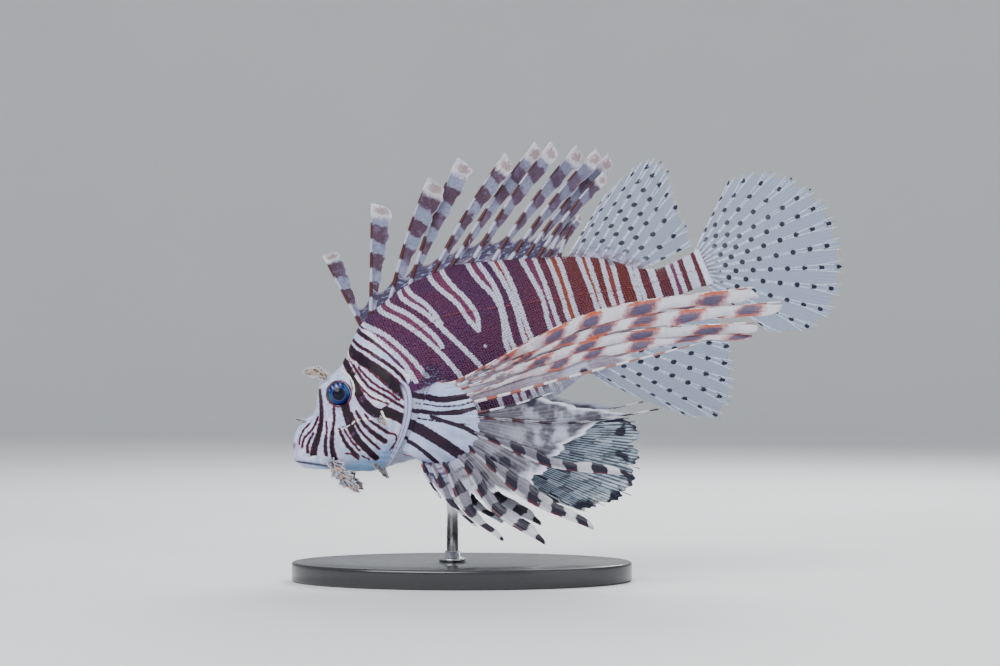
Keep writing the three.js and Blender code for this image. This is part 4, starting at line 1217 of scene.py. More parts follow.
ANAL = (
    [[154, -23.5], [157.5, -23], [161.5, -22], [166, -21], [171, -19.4], [176, -17.6], [181, -15.6],
     [186, -13.6], [190.5, -12], [195, -10.4]],
    [-58, -60, -55, -52, -47.5, -44, -40, -35.5, -31, -24],
    [15, 23, 57, 69, 68, 64, 58, 52, 45, 37],
)


# How far the rays' roots lie in the body, where along them they fork, and how far apart the spots lie
RAY_SUNK = 2.5
RAY_FORK = 0.52
SPOT_PITCH = 8.6


def median_ray(fin, place, t):
    """Places along a soft ray. place counts the rays and may lie between two of them."""
    roots, leans, lengths = (np.asarray(part, float) for part in fin)
    order = np.arange(len(leans))
    root = np.stack([np.interp(place, order, roots[:, 0]), np.interp(place, order, roots[:, 1])], -1)
    lean = np.radians(np.interp(place, order, leans))
    length = np.interp(place, order, lengths)
    station = root[..., 0] + np.cos(lean) * length * t - np.cos(lean) * RAY_SUNK * (1 - t)
    level = root[..., 1] + np.sin(lean) * length * t - np.sin(lean) * RAY_SUNK * (1 - t)
    sway = 0.55 * np.sin(place * 2.1 + t * 2.4) * t + 0.9 * np.sin(place * 0.7 + 1.0) * t * t
    return np.stack([station, sway, level], -1)


def ray_aside(fin, place, t):
    """The distance from a place in the fin to the nearest ray, in millimetres."""
    last = len(fin[1]) - 1
    nearest = np.clip(np.round(place), 0, last)
    return np.linalg.norm(median_ray(fin, place, t) - median_ray(fin, nearest, t), axis=-1)


def make_median_fin(name, node, fin, membrane, ray):
    """A membrane and its rays. Each ray forks once, and its branches fork again near the edge."""
    last = len(fin[1]) - 1
    t, place = shares(90, last * 16 + 1, over=(0, last))
    notch = 1 - 0.045 * np.abs(np.sin(place * np.pi)) ** 0.7 - 0.012 * np.sin(place * np.pi * 4) ** 2
    lengths = np.interp(place, np.arange(last + 1), fin[2])
    t = t * notch
    points = median_ray(fin, place, t)
    half = 0.09 + 0.75 * (1 - smooth(0, 0.09, t))
    half = half + 0.16 * np.abs(np.cos(place * np.pi)) ** 10 * (1 - 0.7 * t)
    values = {"millimetres": t * lengths, "ray_place": place, "aside": ray_aside(fin, place, t)}
    settle(sheet(name + "_membrane", points, half, values), membrane)
    lines = []
    for k in range(last + 1):
        length = fin[2][k]
        for way in (-1, 1):
            for twig in (-1, 1):
                t = np.linspace(0, 1, 44) if twig == way else np.linspace(RAY_FORK + 0.22, 1.0, 16)
                gap = np.linalg.norm(median_ray(fin, k + 0.5, t) - median_ray(fin, k - 0.5, t), axis=-1)
                pair = way * np.minimum(0.2, 0.34 * smooth(0.04, 0.2, t) / np.maximum(gap, 0.4))
                first = smooth(RAY_FORK, 1.05, t) * 0.15 * way
                second = smooth(RAY_FORK + 0.24, 1.05, t) * 0.08 * twig
                at = np.clip(k + pair + first + second, 0, last)
                reach = 1.0 - 0.02 * (twig != way)
                thick = 0.3 * (1 - 0.55 * t) * (1 - smooth(0.97, 1.0, t)) + 0.05
                thick = thick * (0.86 + 0.14 * np.sign(np.sin(t * length * 2.2)))
                numbers = {"millimetres": t * length, "ray_place": at, "aside": ray_aside(fin, at, t)}
                lines.append({"points": median_ray(fin, at, t * reach), "thick": thick, **numbers})
    make_rods(name + "_rays", lines, ray, 6, [node])


def spots(along, place, aside, radius):
    """Round black spots on every ray, staggered from one ray to the next. 1 inside a spot."""
    cell = along * (1 / SPOT_PITCH) + place.maths("ROUND") * 0.47
    down = (cell - cell.maths("ROUND")) * SPOT_PITCH
    away = down * down + aside * aside
    return (away**0.5).step(radius + 0.25, radius - 0.15)


def clear_finish(name, spot_from, tint):
    """Clear fin membrane, faintly blue, with fine streaks and black spots."""
    paint = Paint(name, 0.35, 0.1, 0.15)
    along, place = paint.value("millimetres"), paint.value("ray_place")
    grain = paint.noise(1.5, 3)
    jitter = (grain - 0.5) * 0.5
    black = spots(along + jitter, place, paint.value("aside") + jitter, 1.3)
    black = black * along.step(spot_from, spot_from + 3)
    fine = place.waves(6)
    streak = fine.step(0.3, 1.0)
    root = along.step(16, 0)
    shade = paint.mix(grain, tint, dimmed(tint, 1.6))
    shade.over(streak * 0.3, WHITE)
    mottle = paint.noise(4.5, 3).step(0.42, 0.58)
    shade.over(root, paint.mix(mottle, (0.5, 0.46, 0.64), (0.16, 0.05, 0.07)))
    shade.over(black, (0.008, 0.008, 0.025))
    clear = streak * 0.07 + 0.2 + root * 0.55
    paint.cover(clear.maths("MAXIMUM", black))
    return paint.done(shade, (grain, 0.25, 0.4), (fine, 0.06))


def soft_ray_finish():
    """Soft rays: milky blue segments with black where the spots cross them."""
    paint = Paint("soft_ray", 0.5, 0.3, 0.15)
    along = paint.value("millimetres")
    grain = paint.noise(0.9, 3)
    black = spots(along, paint.value("ray_place"), paint.value("aside"), 1.35) * along.step(9, 12)
    segment = (along * 3.1).sine().step(-0.2, 0.4)
    shade = paint.mix(segment, (0.56, 0.66, 0.86), (0.82, 0.87, 0.97))
    shade.over(grain.step(0.6, 0.7, 0.4), (0.55, 0.42, 0.5))
    shade.over(along.step(12, 3, 0.6), (0.3, 0.14, 0.14))
    shade.over(black, (0.01, 0.01, 0.03))
    return paint.done(shade, (grain, 0.3, 0.45), (segment, 0.05))


# Pectoral and pelvic fins, on each side. Every ray is a line of this many places.
RAY_PLACES = 101
PECTORAL_BASE = ((82, 1.5), (50, -26.5))
UPPER = {
    "lobe": ((78, -18), (16.5, 20.5)),
    "places": [0, 0.09, 0.18, 0.27, 0.35],
    "knees": [52, 44, 34, 21, 9],
    "tips": [[243.5, 90, -18], [253.5, 94, -30], [239, 89, -34.5], [235, 85, -38], [208.7, 75, -32.4]],
    "bows": [12, 11, 10, 9, 0],
    "vanes": [12, 11, 11, 11],
    "webs": [0.74, 0.74, 0.74, 0.76],
}
LOWER = {
    "lobe": ((74, -20), (20, 18)),
    "places": [0.95, 0.86, 0.78, 0.69, 0.61, 0.53, 0.45, 0.41],
    "knees": [-146, -128, -108, -85, -62, -37, -9, -1],
    "tips": [[61, 42, -52], [72, 51, -72], [81.5, 57, -83.5], [100.5, 61, -93.5], [125.6, 62, -96.4],
             [152.8, 62, -78.8], [179.3, 66, -54.6], [134, 47, -26.4]],
    "bows": [-1, -4, -6, -6.5, -6, -6, -5, -1],
    "vanes": [6, 7, 7.5, 8, 8, 6, 1.2],
    "webs": [0.6, 0.59, 0.56, 0.55, 0.66, 0.64, 0.9],
}
# Dark blotches on the upper vanes, rounded squares: vane, station and half length along it
BLOTCH_POWER = 2.6
BLOTCHES = [
    (0, 120, 4), (0, 146, 5.5), (0, 165, 5), (0, 190, 7), (0, 222, 6.5), (1, 128, 5), (1, 150, 5),
    (1, 168, 6), (1, 188, 5.5), (1, 209, 6), (1, 236, 5), (2, 134, 5), (2, 158, 6), (2, 185, 6.5),
    (2, 215, 6), (3, 142, 5), (3, 160, 4.5), (3, 182, 5), (3, 205, 5.5), (3, 226, 5),
]
PELVIC_ROOTS = [[84, 6.5, -29.5], [83.4, 7.1, -30], [82.6, 7.7, -30.4], [81.8, 8.3, -30.6],
                [81, 8.9, -30.6], [80, 9.5, -30.4]]
PELVIC_TIPS = [[168, 27, -58], [164, 31, -69], [158.5, 33, -79.5], [149, 33, -90], [135, 31, -90],
               [122, 28, -87]]
PELVIC_BOWS = [1, 3, 3, 2, 0, -2]
PELVIC_LENGTH = 90


def bent_line(points, count=RAY_PLACES):
    """Evenly spaced places on a centripetal curve through points."""
    p = [np.asarray(q, float) for q in points]
    p = [2 * p[0] - p[1], *p, 2 * p[-1] - p[-2]]
    runs = []
    for a, b, c, d in zip(p[:-3], p[1:-2], p[2:-1], p[3:]):
        ta, tb, tc = (math.sqrt(np.linalg.norm(q - r)) for q, r in ((b, a), (c, b), (d, c)))
        start = ((b - a) / ta - (c - a) / (ta + tb) + (c - b) / tb) * tb
        end = ((c - b) / tb - (d - b) / (tb + tc) + (d - c) / tc) * tb
        t = np.linspace(0, 1, 60)[:, None]
        bow = 3 * (c - b) - 2 * start - end + t * (start + end - 2 * (c - b))
        runs.append(b + t * (start + t * bow))
    line = np.concatenate(runs)
    steps = np.concatenate([[0], np.cumsum(np.linalg.norm(np.diff(line, axis=0), axis=1))])
    at = np.linspace(0, steps[-1], count)
    return np.stack([np.interp(at, steps, line[:, i]) for i in range(3)], 1)


def pectoral_root(place, side):
    """Where a ray leaves the body, a little under the skin."""
    (x0, z0), (x1, z1) = PECTORAL_BASE
    x, z = x0 + (x1 - x0) * place, z0 + (z1 - z0) * place
    return np.array([x, side * (float(skin_width(x, z)) - 1.5), z])


def knee_at(fan, angle, side):
    """Where a ray bends, at the edge of the fleshy lobe."""
    (cx, cz), (rx, rz) = fan["lobe"]
    c, s = math.cos(math.radians(angle)), math.sin(math.radians(angle))
    return np.array([cx + rx * c, side * (22 + 8 * c), cz + rz * s])


def pectoral_rays(fan, side):
    """Every ray of a fan as a line from root to tip."""
    rays = []
    for place, angle, tip, bow in zip(fan["places"], fan["knees"], fan["tips"], fan["bows"]):
        knee = knee_at(fan, angle, side)
        tip = np.array([tip[0], side * tip[1], tip[2]], float)
        lift = np.array([knee[2] - tip[2], 0, tip[0] - knee[0]])
        middle = (knee + tip) / 2 + bow * lift / np.linalg.norm(lift)
        rays.append(bent_line([pectoral_root(place, side), knee, middle, tip]))
    return np.array(rays)


def fan_at(rays, place, t):
    """Places in a fan, between rays and along them."""
    place, t = np.clip(place, 0, len(rays) - 1), np.clip(t, 0, 1) * (RAY_PLACES - 1)
    i, j = np.minimum(place.astype(int), len(rays) - 2), np.minimum(t.astype(int), RAY_PLACES - 2)
    f, g = (place - i)[..., None], (t - j)[..., None]
    low = rays[i, j] * (1 - f) + rays[i + 1, j] * f
    high = rays[i, j + 1] * (1 - f) + rays[i + 1, j + 1] * f
    return low * (1 - g) + high * g


def fan_span(rays, k, t):
    """The distance from ray k to the next at shares of the length."""
    here = np.full(np.shape(t), float(k))
    return np.linalg.norm(fan_at(rays, here + 1, t) - fan_at(rays, here, t), axis=-1)


def make_vanes(name, fan, rays, side, banded_vane):
    """The vane of skin along each ray, almost to its tip, with a blunt ragged end."""
    pieces = []
    for k, full in enumerate(fan["vanes"]):
        t, v = shares(150, 17, down=(0.1, 0.985))
        length = length_of(rays[k])
        belly = 0.86 + 0.14 * np.sin(t * length / 7.5 + k * 1.3) + 0.05 * np.sin(t * length / 2.3 + k)
        wide = full * smooth(0.05, 0.62, t) * belly
        end = np.sqrt(np.clip(1 - (np.clip(t - 0.9, 0, 1) / 0.088) ** 2, 0, 1))
        end = end * (1 - 0.6 * smooth(0.76, 1.0, t) * banded_vane)
        span = fan_span(rays, k, t)
        wide = np.minimum(wide, 0.93 * span) * np.maximum(end, 0.06)
        share = v * wide / np.maximum(span, 1e-3)
        points = fan_at(rays, k + share, t)
        ripple = 0.45 * np.sin(t * length / 6.1 + k * 1.9) * v**1.4
        ripple = ripple + 0.06 * np.sin(t * length / 2.9 + v * 5)
        points[..., 1] += side * ((1.3 * np.sin(np.pi * v * 0.8) + ripple) * smooth(0.1, 0.4, t) + 0.5)
        half = 0.16 + 0.3 * (1 - smooth(0, 0.2, v)) + 0.3 * (1 - smooth(0.1, 0.3, t))
        values = {"along": t, "across": v, "millimetres": t * length, "own": float(k)}
        hook = smooth(0.9, 1.0, t) ** 1.5
        points[..., 2] -= 3.4 * hook * (0.6 + 0.4 * v) * (not banded_vane)
        points[..., 1] += side * 1.6 * hook * v
        blotch, beside = np.full(t.shape, 4.0), np.zeros(t.shape)
        for vane, at, reach in BLOTCHES:
            if vane == k and not banded_vane:
                down = (points[..., 0] - at + 6 * (v - 0.5)) / (1.15 * reach)
                over = np.abs(v - (0.5 + 0.1 * math.sin(at))) / 0.56
                away = (np.abs(down) ** BLOTCH_POWER + over**BLOTCH_POWER) ** (1 / BLOTCH_POWER)
                beside = np.where(away < blotch, over, beside)
                blotch = np.minimum(blotch, away)
        values["blotch"], values["beside"] = blotch, beside
        pieces.append(sheet(f"{name}_{k}", points, half, values))
    return joined(name, pieces)


def make_fan_web(name, fan, rays, side):
    """The thinner web between the rays, which stops short of their tips in scallops."""
    pieces = []
    for k, reach in enumerate(fan["webs"]):
        u, v = shares(110, 21)
        following = fan["webs"][min(k + 1, len(fan["webs"]) - 1)]
        top = reach + (following - reach) * v * 0.5
        notch = 0.05 * np.sin(np.pi * v) ** 0.8 + 0.012 * np.sin(v * 17 + k) + 0.008 * np.sin(v * 41)
        t = u * (top - notch)
        points = fan_at(rays, k + v, t)
        points[..., 1] += side * (0.9 * np.sin(np.pi * v) - 0.4) * smooth(0.05, 0.3, t)
        points[..., 1] += side * (0.1 * np.sin(v * np.pi * 7) * smooth(0.1, 0.5, t))
        half = 0.11 + 0.9 * (1 - smooth(0, 0.22, t))
        millimetres = t * length_of(rays[k])
        values = {"edge": u, "millimetres": millimetres, "ray_place": k + v}
        pieces.append(sheet(f"{name}_{k}", points, half, values))
    return joined(name, pieces)


def ray_lines(rays, thick_root, thick_tip):
    """Tapered rays as lines for rods."""
    lines = []
    for k, ray in enumerate(rays):
        t = np.linspace(0, 1, RAY_PLACES)
        length = length_of(ray)
        thick = (thick_root + (thick_tip - thick_root) * t) * (1 - 0.8 * smooth(0.96, 1, t))
        thick = thick * (1 + 0.1 * np.sin(t * length * 1.7))
        lines.append(
            {"points": ray, "thick": thick, "along": t, "millimetres": t * length, "own": float(k)}
        )
    return lines


def make_lobe(name, side):
    """The fleshy base that the rays run over, from the gill edge to their knees."""
    roots, knees = [], []
    for fan in (LOWER, UPPER):
        count = len(fan["places"])
        order = range(count) if fan is LOWER else range(count - 1, -1, -1)
        for k in order:
            roots.append(pectoral_root(fan["places"][k], side))
            knees.append(knee_at(fan, fan["knees"][k], side))
    order = np.arange(len(roots), dtype=float)
    u, r = shares(110, 46, down=(0, len(order) - 1))
    root, knee = (
        np.stack([curve_through(order, line[:, i])(u) for i in range(3)], -1)
        for line in (np.array(roots), np.array(knees))
    )
    share = (r * 1.04)[..., None]
    points = root * (1 - share) + knee * share
    grooves = 0.26 * np.cos(u * 2 * np.pi) * smooth(0.3, 0.9, r)
    points[..., 1] += side * (2.2 * np.sin(np.pi * np.clip(r, 0, 1)) + grooves)
    half = 0.5 + 1.9 * (1 - smooth(0.2, 1.0, r)) + 0.3 * np.sin(np.pi * np.clip(r, 0, 1))
    half = half * (0.35 + 0.65 * smooth(0, 0.8, u) * (1 - smooth(11.2, 12, u)))
    s, z = points[..., 0], points[..., 2]
    values = {"dark": lobe_edge(s, z), "curls": axil_curls(s, z), "axil": axil_distance(s, z)}
    return sheet(name, points, half, values)


def pelvic_rays(side):
    """Every ray of a pelvic fin as a line from root to tip."""
    t = np.linspace(0, 1, RAY_PLACES)[:, None]
    rays = []
    for root, tip, bow in zip(PELVIC_ROOTS, PELVIC_TIPS, PELVIC_BOWS):
        root, tip = (np.array([x, side * y, z], float) for x, y, z in (root, tip))
        lift = np.array([0, side * 0.6, 0.8])
        rays.append(root * (1 - t) + tip * t + lift * bow * 4 * t * (1 - t))
    return np.array(rays)


def make_pelvic(name, side, membrane, ray):
    """A pelvic fin: a scalloped membrane and forked rays."""
    rays = pelvic_rays(side)
    last = len(rays) - 1
    u, place = shares(100, last * 20 + 1, over=(0, last))
    notch = 0.055 * (1 - np.abs(np.sin(place * np.pi)) ** 0.7) + 0.008 * np.sin(place * 23) + 0.01
    t = u * (1 - notch)
    points = fan_at(rays, place, t)
    points[..., 1] += side * 1.1 * np.cos(place * 2 * np.pi) * smooth(0.15, 0.7, t)
    half = 0.1 + 0.95 * (1 - smooth(0, 0.14, t))
    settle(sheet(name + "_membrane", points, half, {"edge": u, "ray_place": place}), membrane)
    lines = []
    for k in range(last + 1):
        for way in (-1, 0, 1):
            t = np.linspace(*((0.42, 0.97) if way else (0.0, 1.0)), 60)
            at = np.clip(k + way * 0.27 * smooth(0.42, 0.95, t), 0, last)
            line = fan_at(rays, at, t)
            line[:, 1] += side * (1.1 * np.cos(at * 2 * np.pi) * smooth(0.15, 0.7, t) + 0.1 * way)
            thick = (0.34 if way else 0.62) * (1 - 0.72 * t) + 0.06
            numbers = {"along": t, "millimetres": t * PELVIC_LENGTH, "own": float(k)}
            lines.append({"points": line, "thick": thick, **numbers})
    make_rods(name + "_rays", lines, ray, 6, [name])


# Finishes of the paired fins
def upper_vane_finish():
    """Cream vanes with slanted purple blotches rimmed with rust."""
    paint = Paint("cream_vane", 0.3, 0.12, 0.2)
    grain, fine = paint.noise(2.2, 4), paint.noise(0.6, 3)
    across = paint.value("across")
    streak = across.waves(5)
    ground = paint.mix(grain, (0.46, 0.46, 0.56), (0.74, 0.74, 0.8))
    ground.over(streak.step(0.5, 1.0, 0.16), (0.5, 0.4, 0.52))
    ground.over(paint.noise(7, 3).step(0.56, 0.7, 0.3), (0.6, 0.33, 0.34))
    ragged = (paint.noise(2.6, 3) - 0.5) * 0.8
    blotch = paint.value("blotch") + ragged
    rust = paint.mix(grain, (0.32, 0.03, 0.008), (0.6, 0.11, 0.03))
    purple = paint.mix(grain, (0.02, 0.013, 0.045), (0.09, 0.065, 0.15))
    beside = (paint.value("beside") + ragged * 0.4).step(0.5, 0.95)
    shade = paint.mix(blotch.step(1.12, 0.62, 0.95), ground, purple)
    rim = blotch.step(1.24, 1.04) * blotch.step(0.45, 0.8)
    shade.over(rim * (beside * 0.65 + 0.35), rust)
    shade.over(across.step(0.9, 1.0, 0.55), (0.36, 0.07, 0.04))
    near = paint.value("along").step(0.5, 0.1)
    streaks = paint.noise(3.4, 3, stretch=(4.0, 1.0, 1.0)).step(0.46, 0.56, 0.95, 0.1)
    red = paint.mix(paint.noise(3, 3).step(0.4, 0.6), (0.02, 0.008, 0.02), (0.42, 0.06, 0.03))
    shade.over(near * streaks, red)
    return paint.done(shade, (grain, 0.35, 0.52), (fine, 0.05), (streak, 0.05))


def lower_vane_finish():
    """Pale vanes of the lower rays, banded maroon near the root and black towards the tip."""
    paint = Paint("banded_vane", 0.28, 0.12, 0.2)
    grain, fine = paint.noise(2.0, 4), paint.noise(0.6, 3)
    across, along, own = paint.value("across"), paint.value("millimetres"), paint.value("own")
    streak = across.waves(4)
    ground = paint.mix(grain, (0.42, 0.45, 0.54), (0.76, 0.77, 0.78))
    ground.over(streak.step(0.5, 1.0, 0.15), (0.4, 0.46, 0.62))
    jag = (paint.noise(4, 3) - 0.5) * 7.0 + own * 4.3 + across * 4.0
    round_off = (across - 0.45) ** 2.0
    bands = ((along + jag).waves(1 / 15.0) - round_off * 1.8).step(-0.4, 0.05)
    dark = paint.mix(across.step(0.04, 0.2), (0.09, 0.009, 0.022), (0.012, 0.009, 0.026))
    near = paint.value("along").step(0.88, 0.56)
    dusky = paint.mix(grain, (0.05, 0.045, 0.08), (0.2, 0.18, 0.24))
    ground.over(near * across.step(0.05, 0.3, 0.95, 0.3), dusky)
    shade = paint.mix(bands, ground, dark)
    return paint.done(shade, (grain, 0.35, 0.5), (fine, 0.05), (streak, 0.04))


def fan_web_finish(name, light, dusky, alpha, spot_size):
    """Web between the pectoral rays: dusky and streaked, with round black spots."""
    paint = Paint(name, 0.4, 0.1, 0.2)
    grain, fine = paint.noise(2.4, 4), paint.noise(0.7, 3)
    place, along = paint.value("ray_place"), paint.value("millimetres")
    streak = place.waves(7)
    shade = paint.mix(grain, dusky, light)
    shade.over(streak.step(0.1, 0.9, 0.08), WHITE)
    patch = paint.noise(12, 3).step(0.46, 0.62) * paint.value("edge").step(0.35, 0.85)
    shade.over(patch * 0.75, (0.56, 0.57, 0.72))
    cells = paint.cells(15.0)
    spot = (cells + (grain - 0.5) * 0.16).step(spot_size, spot_size - 0.1)
    rim = paint.value("edge").step(0.93, 0.99)
    shade.over(spot, (0.012, 0.01, 0.03))
    shade.over(rim, (0.68, 0.7, 0.82))
    near = along.step(40, 14, 0.75)
    grooves = paint.noise(5, 3, stretch=(3.0, 1.0, 1.0)).step(0.45, 0.55)
    shade.over(near, paint.mix(grooves, (0.5, 0.52, 0.72), (0.03, 0.02, 0.07)))
    solid = spot.maths("MAXIMUM", rim).maths("MAXIMUM", near)
    paint.cover(solid.step(0.0, 0.8, 0.98, alpha))
    return paint.done(shade, (grain, 0.3, 0.48), (fine, 0.05), (streak, 0.05))


def fin_ray_finish(name, near_dark, far_dark, light, pitch):
    """Strong fin rays, banded in two darks."""
    paint = Paint(name, 0.5, 0.35, 0.15)
    grain = paint.noise(1.2, 3)
    along, own = paint.value("millimetres"), paint.value("own")
    jag = (grain - 0.5) * 4.0 + own * 4.3
    bands = (along + jag).waves(1 / pitch).step(-0.1, 0.2)
    dark = paint.mix(paint.value("along").step(0.3, 0.55), near_dark, far_dark)
    shade = paint.mix(grain, dimmed(light, 0.7), light)
    shade.over(bands, dark)
    return paint.done(shade, (grain, 0.3, 0.45), ((along * 5.2).sine(), 0.06))


def lobe_finish():
    """Fleshy base of the pectoral fin: pale blue skin with dark lines, painted shade in the hollow of the
    axil and pale curls there.
    """
    paint = Paint("pectoral_lobe", 0.24, 0.07, 0.12)
    grain, fine = paint.noise(1.6, 4), paint.noise(0.5, 3)
    ragged = (grain - 0.5) * 1.3
    ground = paint.mix(paint.noise(6, 3), (0.25, 0.34, 0.62), (0.62, 0.66, 0.85))
    ground.over(fine.step(0.58, 0.72, 0.4), WHITE)
    shade = paint.mix((paint.value("dark") + ragged).step(0.3, -0.2), ground, LOBE_DARK)
    # Painted shade in the hollow above the fin's root.
    axil = (paint.value("axil") + ragged).step(7, 3, 0.8)
    shade.over(axil, (0.003, 0.005, 0.028))
    curls = (paint.value("curls") + ragged * 0.5).step(0.2, 0.6, 0.45)
    shade.over(curls, (0.24, 0.34, 0.6))
    return paint.done(shade, (grain, 0.34, 0.5), (paint.cells(1.0), 0.05), (fine, 0.07))


def pelvic_finish():
    """Pelvic membrane: pale green-blue with white streaks, dark blotches and a dark scalloped rim."""
    paint = Paint("pelvic_membrane", 0.28, 0.1, 0.2)
    grain, fine = paint.noise(2.2, 4), paint.noise(0.6, 3)
    place, edge = paint.value("ray_place"), paint.value("edge")
    streak = place.waves(7)
    shade = paint.mix(grain, (0.025, 0.05, 0.07), (0.16, 0.2, 0.24))
    broken = paint.noise(2.2, 3, stretch=(5.0, 5.0, 1.0))
    broken = streak + (broken - 0.5) * 5.0
    shade.over(broken.step(-0.5, 0.7, 0.92), (0.62, 0.75, 0.92))
    ragged = (paint.noise(4, 3) - 0.5) * 0.3
    spot = (paint.cells(21.0) + ragged).step(0.4, 0.3)
    ray_side = (place * (2 * math.pi)).maths("COSINE")
    rim = (edge + ray_side * -0.05 + ragged * 0.25).step(0.89, 0.93)
    black = spot.maths("MAXIMUM", rim * paint.noise(15, 2).step(0.47, 0.53))
    shade.over(black, (0.012, 0.014, 0.035))
    solid = black.maths("MAXIMUM", edge.step(0.3, 0.05))
    paint.cover(solid.step(0.0, 0.9, 0.98, 0.66))
    return paint.done(shade, (grain, 0.3, 0.48), (fine, 0.05), (streak, 0.18))


def make_paired_fins(side_name, side, finishes):
    """Both pectoral fans, the lobe and the pelvic fin of one side."""
    for half, fan, tip in (("upper_", UPPER, 0.42), ("lower_", LOWER, 0.3)):
        rays = pectoral_rays(fan, side)
        vanes = make_vanes(half + "vanes_" + side_name, fan, rays, side, fan is LOWER)
        settle(vanes, finishes[half + "vane"])
        settle(make_fan_web(half + "web_" + side_name, fan, rays, side), finishes[half + "web"])
        lines, nodes = ray_lines(rays, 0.95, tip), ["pectoral_fin_" + half + side_name]
        make_rods(half + "rays_" + side_name, lines, finishes[half + "ray"], 8, nodes)
    settle(make_lobe("pectoral_lobe_" + side_name, side), finishes["lobe"])
    make_pelvic("pelvic_fin_" + side_name, side, finishes["pelvic"], finishes["pelvic_ray"])


# Eyes
def make_eye(side_name, side, material):
    """An eyeball, a little flattened, with its pole facing out and a low bulge over the pupil."""
    rings, around = 70, 96
    polar = np.linspace(0.02, np.pi - 0.02, rings)
    turn = np.linspace(0, 2 * np.pi, around, endpoint=False)
    p, a = np.meshgrid(polar, turn, indexing="ij")
    radius, depth = EYE["radius"], EYE["depth"]
    bulge = 0.55
    cornea = bulge * (1 - smooth(0.0, 0.95, p)) ** 1.5
    points = np.stack([
        EYE["station"] + radius * np.sin(p) * np.cos(a),
        side * (EYE["across"] + (depth + cornea - bulge) * np.cos(p)),
        EYE["level"] + radius * np.sin(p) * np.sin(a),
    ], -1).reshape(-1, 3)
    faces = capped(grid_faces(rings, around, True), len(points), around)
    points = np.concatenate([points, [points[:around].mean(0)], [points[-around:].mean(0)]])
    place_s, place_d = points[:, 0] - EYE["station"], points[:, 2] - EYE["level"]
    values = {"eye_s": place_s, "eye_d": place_d, "from_middle": np.hypot(place_s, place_d)}
    values["turn"] = np.arctan2(place_d, place_s)
    made = face_out(mesh_from("eye_ball_" + side_name, points, faces, values))
    settle(made, material, ["eye_" + side_name])


def eye_finish():
    """Dark blue eye: a near-black pupil, a royal blue iris with teal ends and pale streaks above."""
    paint = Paint("fish_eye", 0.08, 0.3, 0.02, Roughness=0.3)
    grain, fine = paint.noise(1.2, 4), paint.noise(0.35, 3)
    out, turn = paint.value("from_middle"), paint.value("turn")
    s, d = paint.value("eye_s"), paint.value("eye_d")
    ragged = (grain - 0.5) * 1.6
    spokes = (turn * 46.0 + grain * 7.0).sine()
    iris = paint.mix(grain, (0.002, 0.006, 0.06), (0.004, 0.02, 0.2))
    iris.over(spokes.step(0.2, 1.0, 0.3), (0.01, 0.045, 0.26))
    teal = (s + ragged).step(-3.2, -4.8)
    iris.over(teal, paint.mix(fine, (0.004, 0.035, 0.07), (0.03, 0.15, 0.2)))
    cyan = (s + ragged).step(3.4, 5.0)
    iris.over(cyan, paint.mix(fine, (0.008, 0.06, 0.16), (0.07, 0.24, 0.38)))
    above = (d + ragged * 1.6).step(2.6, 4.4)
    lines = (s * 2.9 + ragged * 1.4).sine().step(0.0, 0.7)
    iris.over(above * lines, (0.22, 0.3, 0.5))
    gold = out.step(3.2, 3.35) * out.step(3.7, 3.5)
    iris.over(gold * 0.2, (0.3, 0.26, 0.18))
    pupil = (out + ragged * 0.08).step(3.35, 3.1)
    shade = paint.mix(pupil, iris, (0.002, 0.004, 0.016))
    shade.over(out.step(4.5, 5.9, 0.96), (0.006, 0.006, 0.03))
    return paint.done(shade, None, (fine, 0.02))


# Leafy skin tabs of the face: a ragged leaf and a fringe of fine threads
def make_leaf(name, root, tip, bend, wide, flat, lobes, seed):
    """A leaf of skin with lobed edges, and lines for the threads along them. flat is its width's way."""
    rows, columns = 90, 25
    t, v = shares(rows, columns, over=(-1, 1))
    root, tip, bend, flat = (np.asarray(p, float) for p in (root, tip, bend, flat))
    flat = flat / np.linalg.norm(flat)
    share = t[..., None]
    middle = root * (1 - share) + tip * share + bend * 4 * share * (1 - share)
    along = tip - root
    size = np.linalg.norm(along)
    normal = np.cross(along / size, flat)
    normal /= np.linalg.norm(normal)
    swell = 0.3 + 0.7 * np.sin(np.pi * np.clip(t * 0.96 + 0.1, 0, 1)) ** 0.8
    swell = swell * (1 - smooth(0.86, 1.0, t)) ** 0.5
    phase = seed * 1.7 + 1.3 * (v > 0)
    ragged = 1 + 0.26 * np.sin(t * np.pi * lobes + phase)
    ragged = ragged + 0.14 * np.sin(t * np.pi * lobes * 2.7 + phase * 2)
    edge = np.abs(v)
    out = 0.5 * wide * swell * (1 - edge + edge * ragged)
    ripple = 0.09 * wide * (np.sin(t * lobes * 2.2 + v * 3 + seed) * edge + 0.6 * edge**2)
    points = middle + flat * (v * out)[..., None] + normal * ripple[..., None]
    half = 0.12 + 0.3 * (1 - edge) ** 2 * (1 - 0.7 * t) + 0.25 * (1 - smooth(0, 0.15, t))
    values = {"across": edge, "millimetres": t * size}
    leaf = sheet(name, points, half * (1 - 0.6 * smooth(0.9, 1, t)), values)
    random = np.random.default_rng(seed)
    lines = []
    for way in (0, columns - 1):
        for at in np.linspace(0.12, 0.97, max(6, int(size * 1.1))):
            start = points[int(at * (rows - 1)), way]
            lean = along / size * random.uniform(0.3, 1.1)
            lean = lean + flat * (1 if way else -1) * random.uniform(0.4, 0.9)
            lean = lean + normal * random.uniform(-0.5, 0.5)
            reach = random.uniform(0.1, 0.28) * wide
            u = np.linspace(-0.2, 1, 8)[:, None]
            line = start + lean * reach * u + normal * (0.1 * reach * u**2)
            thick = 0.16 * (1 - 0.75 * np.clip(u[:, 0], 0, 1))
            lines.append({"points": line, "thick": thick, "across": 1.0, "millimetres": at * size})
    return leaf, lines


